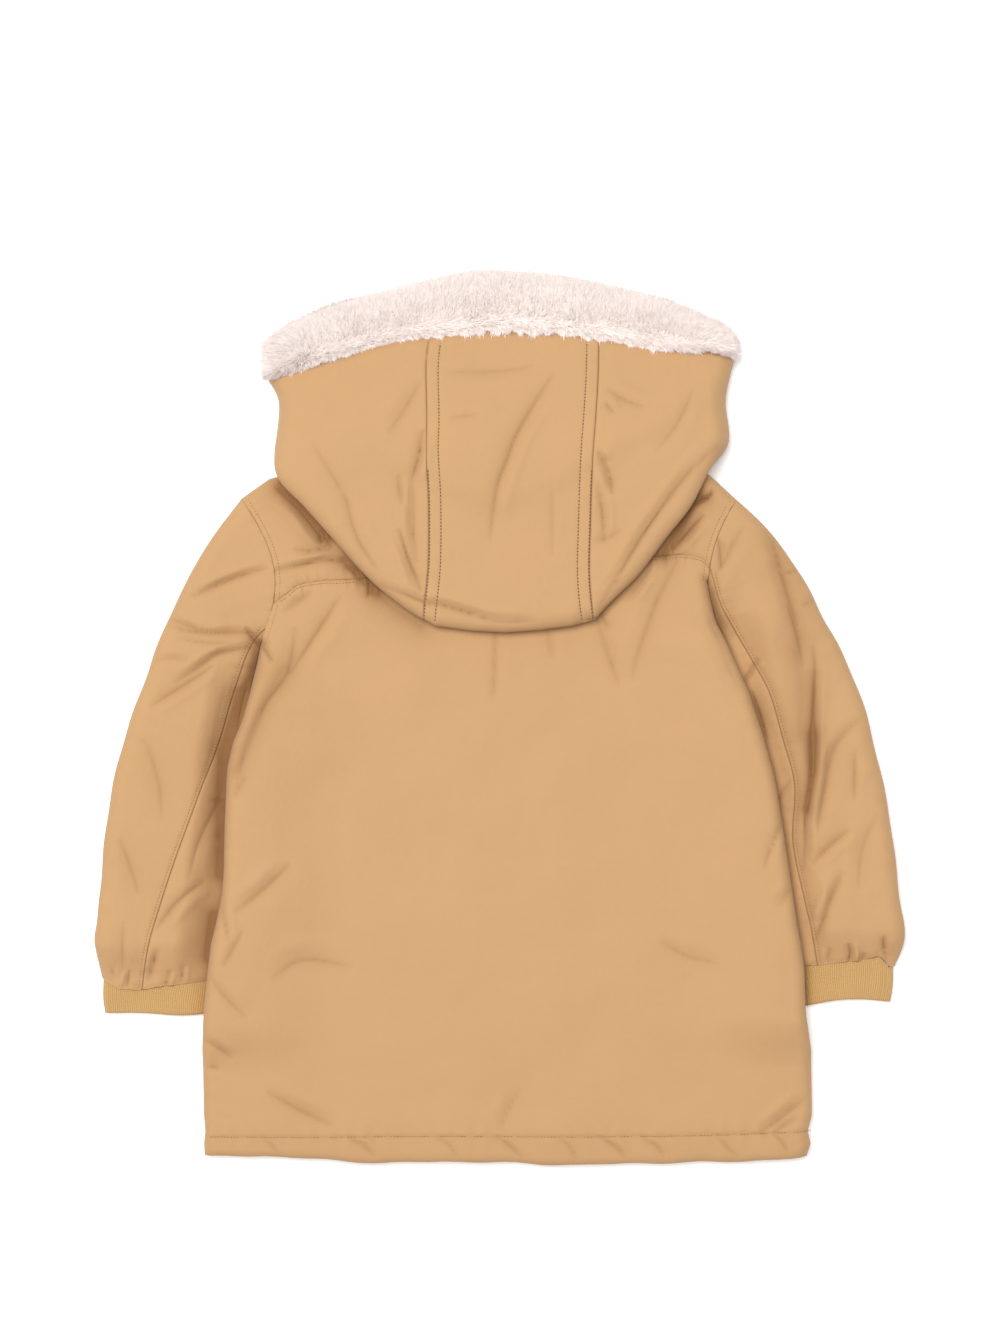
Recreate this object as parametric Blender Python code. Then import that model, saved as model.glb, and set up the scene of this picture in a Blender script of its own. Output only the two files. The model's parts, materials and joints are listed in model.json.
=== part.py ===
"""Fur trimmed parka for a toddler, laid flat on its front with the hood flopped onto the back.

Every piece is a padded wall. Its outer face follows the garment's folds, and a plain inner face
lies inside it. Tables are in millimetres, and the meshes are made in metres. The hem points to -Y,
the hood to +Y, the back is up, and the garment rests on z = 0.
"""
import bpy
import bmesh
import numpy as np

MM = 0.001
SEAM = 0.3             # gap between pieces that are sewn together
ARMHOLE_GAP = 1.1      # the same across the curved armhole
WALL_FRONT = 8.5       # padded front, lying on the floor
WALL_BACK = 9.5        # padded back, lying on the front
BODY_SLIT = 2.0        # air between front and back
BODY_TOP = WALL_FRONT + BODY_SLIT + WALL_BACK
SLEEVE_THICK = 20.0    # both layers of a sleeve
TUCK_THICK = 8.4       # a sleeve where the body lies on it
BODY_LIFT = 9.6        # how far a sleeve raises the body's side
CUFF_THICK = 9.0
HOOD_UNDER = 7.0
HOOD_UPPER = 8.0
HOOD_REST = 0.4        # clear height between the hood and what carries it
FUR_UNDER = 9.8        # fur strip that is pressed on the floor
FUR_PILE = 27.0        # top of the fur strip
HEM_DEPTH = 17.0
HEM_GROOVE = 1.4       # how deep the hem's stitching pulls in
HEM_ROUND = 2.5
PLACKET_WIDE = 46.0
PLACKET_THICK = 2.4

SHELL = (0.680, 0.405, 0.195)
SHELL_DEEP = (0.640, 0.375, 0.178)
RIB = (0.610, 0.370, 0.165)
FUR = (0.895, 0.800, 0.740)

# y, left edge x, right edge x of the body below the armholes
BODY = ((86, -141, 131), (60, -146, 136), (46, -151, 143), (15, -157.5, 157), (-16, -168, 167),
        (-43, -172, 174), (-68, -173.4, 178), (-98, -174, 182.5), (-131, -179, 187.3),
        (-159, -184, 191.8), (-187, -186.7, 192.6), (-211, -188, 196.6), (-252, -187.3, 197.3),
        (-284, -186.5, 192))
# x, y of the hem, the yoke seam, the back's upper edge and the front's upper edge
HEM = ((-190, -278.5), (-119, -279), (-60, -281.5), (0, -281.3), (51, -283), (153, -280.7), (197, -278.5))
YOKE = ((-142, 72), (-127, 83), (-91, 86.5), (0, 94), (100, 101), (127, 100), (134, 94))
BACK_TOP = ((-163.2, 137.8), (-146, 150), (-110, 160), (-72, 167), (0, 162.5), (72, 167), (110, 160),
            (132, 153), (149.2, 137.2))
FRONT_TOP = ((-163.2, 137.8), (-146, 150), (-110, 160), (-72, 167), (-34, 149), (0, 138), (34, 149),
             (72, 167), (110, 160), (132, 153), (149.2, 137.2))
# armholes: top x, top y, bottom x, bottom y, sideways bow of the curve
ARMHOLE = {"left": (-163.2, 137.8, -151.2, 46.0, 15.0), "right": (149.2, 137.2, 131.2, 85.0, -4.0)}

# sleeves from armhole to cuff: outer edge x, y; back seam x, y; inner edge x, y
SLEEVE = {
    "left": ((-188, 104, -156.5, 48.8, -153.2, 43), (-208, 65, -160.5, 37, -154.6, 33),
             (-223, 28, -169.5, 11.3, -157.5, 8), (-236, -10, -178, -18, -163, -20),
             (-246.5, -50, -190.5, -51.5, -164.5, -52), (-251, -90, -205, -91, -168.5, -92),
             (-254.5, -124, -216, -125, -173, -126), (-256.2, -144, -222, -146, -176, -147),
             (-252, -165.5, -227, -171, -180, -167)),
    "right": ((169, 118.5, 139, 73, 136.4, 67), (188, 93, 147, 56, 142, 48), (203, 65, 157, 39, 146, 27),
              (218, 37, 169, 17, 151, 7), (232.5, -2, 178, -12, 159.5, -18),
              (242, -41, 186, -46, 166, -44), (249, -83, 185, -82, 170.5, -78),
              (253.4, -119, 192, -119, 175.5, -114), (256, -141, 197, -141, 180, -136),
              (250, -158, 201, -157.5, 184.5, -158.5)),
}
# cuffs: rows of outer x, y; inner x, y
CUFF = {
    "left": ((-251.3, -166.8, -181.2, -167.9), (-251.6, -178, -181.6, -179), (-250.2, -188, -182.4, -188.8)),
    "right": ((248.4, -160.2, 186.4, -160.6), (249.2, -170, 187.4, -172), (247.2, -181.8, 189.0, -184.2)),
}
CUFF_SAG = {"left": -4.2, "right": 3.0}

# hood, from its face edge to its lowest fold: outline x, y; seam x, y; end of the under layer x, y
HOOD = {
    "left": ((-146.2, 212.2, -44.5, 239.5, -77, 178.8), (-139.8, 197, -46.4, 220, -77, 175.5),
             (-142.2, 166, -45.8, 188, -77, 170.5), (-138.7, 148.6, -46.2, 166, -72, 163),
             (-123, 131.7, -44.8, 140, -50, 158), (-106, 112.7, -44.5, 117, -46.2, 140),
             (-89.3, 93.8, -44.8, 97, -45.4, 117), (-76.6, 81.2, -46, 82, -45.2, 95),
             (-61.9, 69.6, -47.4, 70, -46.6, 78), (-51.5, 62.6, -48.2, 61.2, -47.8, 64)),
    "right": ((148, 225, 62.3, 239.3, 77, 184), (142.8, 200, 61.6, 213, 77, 175.5),
              (144.6, 173, 60, 188, 77, 170.5), (131.8, 154.9, 58.3, 166, 74, 163),
              (120, 132, 57.2, 141, 60, 158), (105, 112.7, 56.6, 118, 57.6, 140),
              (87.6, 89.5, 56, 97, 56.8, 117), (75, 77, 56.4, 82, 57, 95),
              (66.5, 68.6, 57.6, 69.6, 57.6, 78), (61, 62.4, 58.9, 60.6, 58.6, 64)),
}
HOOD_FOLD = ((-48.2, 61.2), (-40.8, 56.9), (-17.8, 53.8), (3.4, 52.7), (24.4, 54.2), (45.5, 56.9), (58.9, 60.6))
# upper fur strip: x, y of the shell seam, y of the outer edge
FUR_STRIP = ((-149.5, 214, 238), (-142, 214.5, 243.3), (-127, 218, 251.7), (-102, 226.4, 262.3),
             (-60, 237.5, 273.8), (-22, 241.5, 282.3), (0, 243.5, 283.3), (40, 241.5, 280),
             (87, 234, 269.6), (110, 230.8, 262), (128, 231, 254), (142, 229.4, 247.3), (149.5, 227, 240))
FUR_UNDER_WIDE = 34.0
UNDER_STRIP_NECK, UNDER_STRIP_CORNERS = 147, (213, 225)    # y at the neck, and at the left and right corners
FUR_CORNER = 150.8     # half width of the strip where it turns under
# share of the way from seam to edge, share of the pile's height, rise of the inner face
FUR_PROFILE = ((0, 0.55, 0.1), (0.12, 0.82, 0), (0.35, 1.0, 0), (0.62, 0.98, 0), (0.86, 0.78, 0), (1, 0.42, 0.15))

# folds: x0, y0, x1, y1, half width, depth (a minus sign is a ridge)
FOLDS = (
    (-2.5, 46, -5, 8, 7, 2.5), (-129, 52, -134, 29, 8, 4), (-134, 29, -148, 10, 8, 5),
    (-148, 10, -159, -13, 7, 5), (-159, -13, -169, -43, 6, 4), (-112, 56, -125, 37, 10, 2.5),
    (105, 55, 87, 30, 12, 2.5), (66, 50, 76, 20, 8, 2), (-133, -93, -165, -121, 9, 2.5),
    (-143, -164, -92, -158, 12, 2), (-146, -237, -105, -258, 9, 2), (190, -241, 165, -262, 8, 2.5),
    (102, -142, 136, -155, 12, 1.5), (-192, 77, -150, 94, 8, 3), (-208, 56, -158, 52, 6, 2.5),
    (-158, 44, -203, 23, 6, 2.5), (-182, 31, -218, 8, 6, 2), (-186, -105, -216, -134, 8, 3),
    (-216, -147, -222, -167, 6, 2.5), (197, 44, 197, -36, 7, 4.5), (197, -36, 190, -98, 7, 4.5),
    (226, -1, 208, -20, 8, -2), (208, -20, 203, -74, 8, -2), (224, -23, 223, -53, 6, 2),
    (220, -72, 197, -93, 7, 3), (216, -98, 199, -142, 8, 4),
)
HOOD_FOLDS = (
    (34, 216, 11, 177, 9, 3), (11, 177, -2, 142, 8, 3), (-2, 142, -6, 112, 7, 2), (-76, 82, -38, 70.5, 6, 2.5),
    (-38, 70.5, -2, 60, 6, 2), (-52, 177, -56, 148, 8, 3.5), (-55, 145, -53, 99, 7, 2.5),
    (-64, 116, -50, 78, 8, 3), (-97, 139, -74, 88, 9, 2), (-52, 211, -70, 177, 10, 2),
    (64, 161, 70, 139, 7, 3.5), (62, 143, 65, 110, 7, 2.5), (68, 205, 91, 194, 9, 2),
    (134, 165, 91, 116, 9, 2.5), (91, 116, 64, 72, 9, 2.5),
)


# ---------------------------------------------------------------- curves and measures

def smooth(rows, count):
    """Even stations along a table's rows, on a Catmull-Rom curve."""
    rows = np.array(rows, float)
    where = np.linspace(0, 1, count) * (len(rows) - 1)
    first = np.minimum(where.astype(int), len(rows) - 2)
    t = (where - first)[:, None]
    a, b = rows[np.maximum(first - 1, 0)], rows[first]
    c, d = rows[first + 1], rows[np.minimum(first + 2, len(rows) - 1)]
    return b + 0.5 * t * (c - a + t * (2 * a - 5 * b + 4 * c - d + t * (3 * (b - c) + d - a)))


def ease(low, high, value):
    """0 below low, 1 above high, and a smooth step between; high may be the lower of the two."""
    t = np.clip((np.asarray(value, float) - low) / (high - low), 0, 1)
    return t * t * (3 - 2 * t)


def reach(plan, line):
    """Distance from each point to a line, and the direction to the line's left there."""
    plan = np.asarray(plan, float)
    line = np.asarray(line, float)
    best = np.full(plan.shape[:-1], 1e9)
    left = np.zeros(plan.shape)
    for start, end in zip(line[:-1], line[1:]):
        run = end - start
        share = np.clip(((plan - start) @ run) / (run @ run), 0, 1)
        away = np.linalg.norm(plan - start - share[..., None] * run, axis=-1)
        nearer = away < best
        best = np.where(nearer, away, best)
        side = np.array((-run[1], run[0])) / np.hypot(*run)
        left = np.where(nearer[..., None], side, left)
    return best, left


def table_y(table, x):
    xs, ys = zip(*table)
    return np.interp(x, xs, ys)


def armhole_x(side, y):
    top_x, top_y, low_x, low_y, bow = ARMHOLE[side]
    share = np.clip((top_y - np.asarray(y, float)) / (top_y - low_y), 0, 1)
    return top_x + (low_x - top_x) * share + bow * np.sin(np.pi * share)


def body_edge(side, y):
    """The body's side: its armhole, then its side seam."""
    y = np.asarray(y, float)
    column = 1 if side == "left" else 2
    rows = np.array(BODY)[::-1]
    below = np.interp(y, rows[:, 0], rows[:, column])
    return np.where(y > ARMHOLE[side][3], armhole_x(side, y), below)


def side_seam(side):
    """The body's rolled side below the armhole, with the garment on its left."""
    low = ARMHOLE[side][3]
    ys = [low] + [row[0] for row in BODY if row[0] < low - 2]
    line = [(float(body_edge(side, y)), y) for y in ys]
    return line if side == "left" else line[::-1]


def fold_relief(plan, folds):
    """Depth of the folds at each point."""
    depth = np.zeros(plan.shape[:-1])
    for x0, y0, x1, y1, half, deep in folds:
        away, _ = reach(plan, ((x0, y0), (x1, y1)))
        depth = depth + deep * np.exp(-(away / half) ** 2)
    return np.clip(depth, -2.5, 5.5)


# ---------------------------------------------------------------- padded layers

class Layers:
    """Two padded walls lying on each other, joined round their rolled edges."""

    def __init__(self, edges, radius, inset, mid, up, down, slit, folds=()):
        self.edges, self.radius, self.inset = edges, radius, inset
        self.mid, self.up, self.down, self.slit = mid, up, down, slit
        self.folds = folds

    def nearest(self, plan):
        away, left = reach(plan, self.edges[0])
        for edge in self.edges[1:]:
            other, other_left = reach(plan, edge)
            left = np.where((other < away)[..., None], other_left, left)
            away = np.minimum(other, away)
        return away, left

    def faces(self, plan, side, widest=1e9, inward=None):
        """Outer and inner points of a wall; side is 1 above, -1 below and 0 on the rolled edge.

        Inner points stay the edge wall's thickness away from the rolled edges: no more than widest,
        along inward or, without it, square to the edge.
        """
        plan = np.asarray(plan, float)
        side = np.broadcast_to(np.asarray(side, float), plan.shape[:-1])
        away, left = self.nearest(plan)
        near = 1 - np.clip(away / self.radius, 0, 1)
        roll = np.sqrt(1 - near ** 2)
        mid = self.mid(plan)
        half = np.where(side > 0, self.up(plan), self.down(plan))
        relief = fold_relief(plan, self.folds) * (side > 0) * roll if self.folds else 0
        high = mid + side * (SEAM / 2 + (half - SEAM / 2) * roll) - relief
        edge_wall = np.minimum(self.inset, widest)
        inset = np.clip(edge_wall - away, 0, None) * 0.72
        inner = plan + (left if inward is None else inward) * inset[..., None]
        open_half = np.clip(self.slit(plan) / 2 - SEAM / 2, 0, None)
        low = mid + side * (SEAM / 2 + open_half * np.clip(away / edge_wall, 0, 1))
        return np.dstack((plan, high)), np.dstack((inner, low))


def steps(width, edge, spacing, far_edge=()):
    """Distances across a layer: close together at the rolled edges, then evenly spaced."""
    start, stop = edge[-1], width - (far_edge[-1] if far_edge else 0)
    count = max(int(round((stop - start) / spacing)), 1)
    middle = start + (stop - start) * np.arange(1, count + (0 if far_edge else 1)) / count
    return np.concatenate((edge, middle, [width - d for d in far_edge[::-1]])) / width


def wall(name, faces, colour, ring=False):
    """A closed solid between an outer and an inner grid of points."""
    outer, inner = faces
    rows, cols = outer.shape[:2]
    mesh_data = bmesh.new()
    out = [[mesh_data.verts.new(p * MM) for p in row] for row in outer]
    ins = [[mesh_data.verts.new(p * MM) for p in row] for row in inner]
    span = cols if ring else cols - 1
    for r in range(rows - 1):
        for c in range(span):
            n = (c + 1) % cols
            mesh_data.faces.new((out[r][c], out[r][n], out[r + 1][n], out[r + 1][c]))
            mesh_data.faces.new((ins[r][c], ins[r + 1][c], ins[r + 1][n], ins[r][n]))
    for c in range(span):
        n = (c + 1) % cols
        mesh_data.faces.new((out[0][c], ins[0][c], ins[0][n], out[0][n]))
        mesh_data.faces.new((out[-1][c], out[-1][n], ins[-1][n], ins[-1][c]))
    if not ring:
        for r in range(rows - 1):
            mesh_data.faces.new((out[r][0], out[r + 1][0], ins[r + 1][0], ins[r][0]))
            mesh_data.faces.new((out[r][-1], ins[r][-1], ins[r + 1][-1], out[r + 1][-1]))
    return solid(name, mesh_data, colour)


def solid(name, mesh_data, colour):
    bmesh.ops.recalc_face_normals(mesh_data, faces=mesh_data.faces)
    mesh = bpy.data.meshes.new(name)
    mesh_data.to_mesh(mesh)
    mesh_data.free()
    part = bpy.data.objects.new(name, mesh)
    bpy.context.scene.collection.objects.link(part)
    material = bpy.data.materials.get(colour[0]) or cloth_material(*colour)
    mesh.materials.append(material)
    return part


def cloth_material(name, base, roughness):
    material = bpy.data.materials.new(name)
    material.use_nodes = True
    shader = material.node_tree.nodes["Principled BSDF"]
    shader.inputs["Base Color"].default_value = (*base, 1)
    shader.inputs["Roughness"].default_value = roughness
    shader.inputs["Metallic"].default_value = 0
    return material


SHELL_CLOTH = ("shell_cloth", SHELL, 0.85)
SHELL_LINE = ("shell_cloth_hidden", SHELL_DEEP, 0.85)
RIB_KNIT = ("rib_knit", RIB, 0.9)
FUR_PILE_CLOTH = ("fur", FUR, 0.95)


# ---------------------------------------------------------------- body

ROLL_STEPS = [0.0, 1.0, 3.2, 6.5, 11.0]
SIDE_STEPS = np.array(ROLL_STEPS + [20.0, 31.0, 43.0])
SHOULDERS = [[p for p in reversed(BACK_TOP) if p[0] >= 72], [p for p in reversed(BACK_TOP) if p[0] <= -72]]
# where the sleeves lift the body: y of start, full, still full and end; distance in from the side
LIFT_ENDS = {"left": (38, 4, -192, -226), "right": (77, 42, -188, -222)}
LIFT_REACH = (13, 78)


def body_mid(plan):
    """Height of the slit between front and back: raised where a sleeve lies under the side."""
    lift = np.zeros(plan.shape[:-1])
    for side, (start, full, hold, stop) in LIFT_ENDS.items():
        away, _ = reach(plan, side_seam(side))
        along = ease(start, full, plan[..., 1]) * (1 - ease(hold, stop, plan[..., 1]))
        lift = np.maximum(lift, BODY_LIFT * along * (1 - ease(*LIFT_REACH, away)))
    return WALL_FRONT + BODY_SLIT / 2 + lift


def body_layers():
    up = WALL_BACK + BODY_SLIT / 2
    down = WALL_FRONT + BODY_SLIT / 2
    edges = [side_seam("left"), side_seam("right"), *SHOULDERS]
    return Layers(edges, 11, 6, body_mid, lambda p: up, lambda p: down, lambda p: BODY_SLIT, FOLDS)


def between(top, bottom, share, from_left, middle, from_right, left, right):
    """Plan points from an upper to a lower line; left and right give the edge x at a height.

    Columns lie at given distances from the left and the right edge, with even ones between.
    """
    plan = np.zeros((len(share), len(from_left) + middle + len(from_right), 2))
    for r, t in enumerate(share):
        x_left, x_right = left(0.0), right(0.0)
        for _ in range(6):
            y_left = top(x_left) + (bottom(x_left) - top(x_left)) * t
            y_right = top(x_right) + (bottom(x_right) - top(x_right)) * t
            x_left, x_right = left(y_left), right(y_right)
        first, last = x_left + from_left[-1], x_right - from_right[-1]
        inside = np.linspace(first, last, middle + 2)[1:-1]
        xs = np.concatenate((x_left + from_left, inside, x_right - from_right[::-1]))
        plan[r, :, 0] = xs
        plan[r, :, 1] = top(xs) + (bottom(xs) - top(xs)) * t
    return plan


HEM_SHARE = 1 - HEM_DEPTH / 370
PANEL_ROWS = np.concatenate((np.linspace(0, HEM_SHARE - 0.012, 18), [HEM_SHARE, HEM_SHARE + 0.012, 1]))
YOKE_ROWS = np.array([0, 0.025, 0.085, 0.2, 0.4, 0.6, 0.8, 1])


def left_edge(y):
    return body_edge("left", y)


def right_edge(y):
    return body_edge("right", y)


def hem_y(x):
    return table_y(HEM, x)


def make_back(layers):
    columns = (SIDE_STEPS, 13, SIDE_STEPS)
    plan = between(lambda x: table_y(YOKE, x) - SEAM / 2, hem_y, PANEL_ROWS, *columns, left_edge, right_edge)
    outer, inner = layers.faces(plan, 1)
    outer[-3, 3:-3, 2] -= HEM_GROOVE
    outer[-1, 3:-3, 2] -= HEM_ROUND
    wall("back_panel", (outer, inner), SHELL_CLOTH)
    plan = between(lambda x: table_y(BACK_TOP, x), lambda x: table_y(YOKE, x) + SEAM / 2, YOKE_ROWS, *columns,
                   left_edge, right_edge)
    wall("back_yoke", layers.faces(plan, 1), SHELL_CLOTH)


def make_fronts(layers):
    """Two fronts that meet on the centre line, with the placket flap in a step below them."""
    step_in = PLACKET_WIDE / 2 + SEAM
    centre = np.array([SEAM / 2, step_in, step_in + 0.4])
    for side, sign in (("left", -1), ("right", 1)):
        edges = (left_edge, lambda y: 0.0) if side == "left" else (lambda y: 0.0, right_edge)
        columns = (SIDE_STEPS, 2, centre) if side == "left" else (centre, 2, SIDE_STEPS)
        upper = between(lambda x: table_y(FRONT_TOP, x), lambda x: table_y(YOKE, x), YOKE_ROWS,
                        *columns, *edges)
        lower = between(lambda x: table_y(YOKE, x), hem_y, PANEL_ROWS, *columns, *edges)
        plan = np.concatenate((upper[:-1], lower))
        outer, inner = layers.faces(plan, -1)
        raised = np.abs(plan[..., 0]) < step_in + 0.2
        outer[..., 2] = np.where(raised, PLACKET_THICK + SEAM, outer[..., 2])
        wall("front_" + side, (outer, inner), SHELL_LINE)
    xs = np.linspace(-PLACKET_WIDE / 2, PLACKET_WIDE / 2, 5)
    ys = np.linspace(132, -279, 9)
    plan = np.dstack(np.meshgrid(xs, ys))
    under = np.dstack((plan, np.zeros(plan.shape[:2])))
    over = under + (0, 0, PLACKET_THICK)
    wall("front_placket", (under, over), SHELL_LINE)


# ---------------------------------------------------------------- sleeves and cuffs

def sleeve_rows(side, count):
    """Stations from the armhole down: outer edge, back seam and inner edge."""
    sign = -1 if side == "left" else 1
    top_x, top_y, low_x, low_y, _ = ARMHOLE[side]
    gap = sign * ARMHOLE_GAP
    first = (top_x + gap, top_y, low_x + gap, low_y + 9.0, low_x + 1.6 * gap, low_y - 0.6)
    return smooth((first,) + SLEEVE[side], count)


def sleeve_plan(side, rows, share):
    """Plan points at shares of the way from the outer to the inner edge, bowed at both ends."""
    bow = ARMHOLE[side][4]
    sag = {"left": -4.0, "right": 1.5}[side]
    t = np.linspace(0, 1, len(rows))[:, None]
    plan = rows[:, None, 0:2] + (rows[:, None, 4:6] - rows[:, None, 0:2]) * share[..., None]
    arch = np.sin(np.pi * share)
    plan[..., 0] += bow * arch * np.clip(1 - t * 4, 0, 1) ** 1.5
    plan[..., 1] += sag * arch * np.clip(t * 6 - 5, 0, 1)
    return plan


def sleeve_layers(side, rows):
    outer_edge, inner_edge = rows[:, 0:2], rows[:, 4:6]
    edges = [outer_edge, inner_edge[::-1]] if side == "left" else [outer_edge[::-1], inner_edge]
    low_x, low_y = ARMHOLE[side][2:4]
    cuff_y = rows[-1, 5]

    def thick(plan):
        away, _ = reach(plan, inner_edge)
        from_armhole = np.hypot(plan[..., 0] - low_x, plan[..., 1] - low_y)
        tuck = ease(10, 44, from_armhole) * (1 - ease(7, 30, away))
        full = SLEEVE_THICK - 8.0 * (1 - ease(cuff_y, cuff_y + 26, plan[..., 1]))
        return full + (TUCK_THICK - full) * tuck

    return Layers(edges, 10, 3.6, lambda p: 0.475 * thick(p), lambda p: 0.525 * thick(p),
                  lambda p: 0.475 * thick(p), lambda p: 0.1 * thick(p), FOLDS)


def make_sleeve(side, count=17):
    rows = sleeve_rows(side, count)
    layers = sleeve_layers(side, rows)
    width = np.linalg.norm(rows[:, 4:6] - rows[:, 0:2], axis=1)
    seam = np.clip(np.linalg.norm(rows[:, 2:4] - rows[:, 0:2], axis=1) / width, 0.2, 0.93)
    gap = 1.5 * SEAM / 2 / width
    floor_seam = 0.55
    top, under = [], []
    for w, s, g in zip(width, seam, gap):
        round_edge = np.array(ROLL_STEPS) / w
        over = np.linspace(s - g, round_edge[-1], 6)
        below = np.linspace(round_edge[-1], floor_seam - g, 4)
        top.append(np.concatenate((over, round_edge[-2::-1], round_edge[1:-1], below)))
        narrow = np.array([0, 0.12, 0.4]) * min(9.0, (1 - s) * w) / w
        over = np.linspace(s + g, 1 - narrow[-1], 4)[:-1]
        back = 1 - np.array([9.0, 3.6, 1.1]) / w
        below = np.linspace(back[0], floor_seam + g, 4)[1:]
        under.append(np.concatenate((over, 1 - narrow[::-1], back[::-1], below)))
    for name, shares, fold_at in (("top", top, 10), ("under", under, 5)):
        shares = np.array(shares)
        kind = np.where(np.arange(shares.shape[1]) < fold_at, 1, -1)
        kind[fold_at] = 0
        plan = sleeve_plan(side, rows, shares)
        inward = (rows[:, 4:6] - rows[:, 0:2]) / width[:, None]
        inward = inward[:, None] * np.where(shares < 0.5, 1, -1)[..., None]
        edge_wall = np.clip(0.8 + np.linspace(0, 1, count) * 18, 0, 3.6)[:, None]
        wall(f"sleeve_{side}_{name}", layers.faces(plan, kind, edge_wall, inward), SHELL_CLOTH)


def make_cuff(side):
    rows = smooth(CUFF[side], 4)
    outer_edge, inner_edge = rows[:, 0:2], rows[:, 2:4]
    edges = [outer_edge, inner_edge[::-1]] if side == "left" else [outer_edge[::-1], inner_edge]

    def thick(plan):
        away, _ = reach(plan, inner_edge)
        return CUFF_THICK + (TUCK_THICK - CUFF_THICK) * (1 - ease(4, 16, away))

    layers = Layers(edges, 4.5, 3.2, lambda p: thick(p) / 2, lambda p: thick(p) / 2,
                    lambda p: thick(p) / 2, lambda p: 1.8)
    width = float(np.linalg.norm(rows[0, 2:4] - rows[0, 0:2]))
    over = steps(width, [0.0, 0.6, 2.0, 4.5], 9, [0.0, 0.6, 2.0, 4.5])
    share = np.concatenate((over, over[-2:0:-1]))
    kind = np.concatenate(([0], np.ones(len(over) - 2), [0], -np.ones(len(over) - 2)))
    plan = outer_edge[:, None] + (inner_edge - outer_edge)[:, None] * share[None, :, None]
    sag = CUFF_SAG[side] * np.sin(np.pi * share) * np.linspace(1, 0.2, len(rows))[:, None]
    plan[..., 1] += sag - SEAM
    outer, inner = layers.faces(plan, kind)
    wall("cuff_" + side, (outer, inner), RIB_KNIT, ring=True)


# ---------------------------------------------------------------- hood and fur

def beyond_shoulder(plan):
    """Distance past the body's upper edge, along Y."""
    return plan[..., 1] - table_y(BACK_TOP, plan[..., 0])


def hood_rest(plan):
    """Height that carries the hood: the body's top, then down to the floor past the shoulders."""
    return BODY_TOP * (1 - ease(0, 30, beyond_shoulder(plan)))


def hood_bridge(plan):
    """The hood's own thickness bridges the step past the shoulders, so its top slopes gently."""
    past = beyond_shoulder(plan)
    return BODY_TOP * (ease(0, 30, past) - ease(-10, 100, past))


def under_strip_seam(x):
    """Shell edge of the fur strip's under half: a V from the corners down to the neck."""
    corner = np.where(np.asarray(x) < 0, *UNDER_STRIP_CORNERS)
    return UNDER_STRIP_NECK + (corner - UNDER_STRIP_NECK) * np.clip(np.abs(x) / 146, 0, 1) ** 1.1


def hood_layers():
    left = [row[0:2] for row in HOOD["left"]]
    right = [row[0:2] for row in reversed(HOOD["right"])]
    outline = [*left, *HOOD_FOLD[1:-1], *right]

    def slit(plan):
        over_fur = ease(-28, -8, plan[..., 1] - under_strip_seam(plan[..., 0]))
        return 1.6 + 2.2 * over_fur

    def mid(plan):
        return hood_rest(plan) + HOOD_REST + HOOD_UNDER + slit(plan) / 2

    return Layers([outline], 10, 5, mid, lambda p: HOOD_UPPER + slit(p) / 2 + hood_bridge(p),
                  lambda p: HOOD_UNDER + slit(p) / 2, slit, HOOD_FOLDS)


def make_hood_side(side, layers, count=15):
    rows = smooth(HOOD[side], count)
    grid, kinds = [], []
    away_from_seam = -1 if side == "left" else 1
    for row in rows:
        edge, seam, end = row[0:2], row[2:4].copy(), row[4:6]
        seam[0] += away_from_seam * SEAM / 2
        end = end + np.array((away_from_seam * SEAM / 2, 0))
        width = np.linalg.norm(edge - seam)
        fine = np.array(ROLL_STEPS) * min(1, width / 24) / width
        over = np.concatenate((np.linspace(1, fine[-1], 7), fine[-2::-1]))
        under_width = np.linalg.norm(edge - end)
        fine = np.array(ROLL_STEPS) * min(1, under_width / 24) / under_width
        below = np.concatenate((fine[1:], np.linspace(fine[-1], 1, 4)[1:]))
        grid.append([edge + (seam - edge) * s for s in over] + [edge + (end - edge) * s for s in below])
        kinds.append([1] * (len(over) - 1) + [0] + [-1] * len(below))
    grid, kinds = np.array(grid), np.array(kinds)
    fur_y = np.interp(grid[..., 0], [r[0] for r in FUR_STRIP], [r[1] for r in FUR_STRIP])
    fur_y -= 4 * SEAM + grid[0, :, 1]
    grid[..., 1] += fur_y * (kinds > 0) * np.clip(1 - np.arange(count) / 4, 0, 1)[:, None]
    widths = np.linalg.norm(rows[:, 0:2] - rows[:, 2:4], axis=1)[:, None]
    outer, inner = layers.faces(grid, kinds, 0.4 * widths)
    seam_x = rows[:, 2:3] + away_from_seam * SEAM / 2
    inner[..., 0] = away_from_seam * np.maximum(away_from_seam * inner[..., 0], away_from_seam * seam_x)
    wall("hood_side_" + side, (outer, inner), SHELL_CLOTH)


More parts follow.
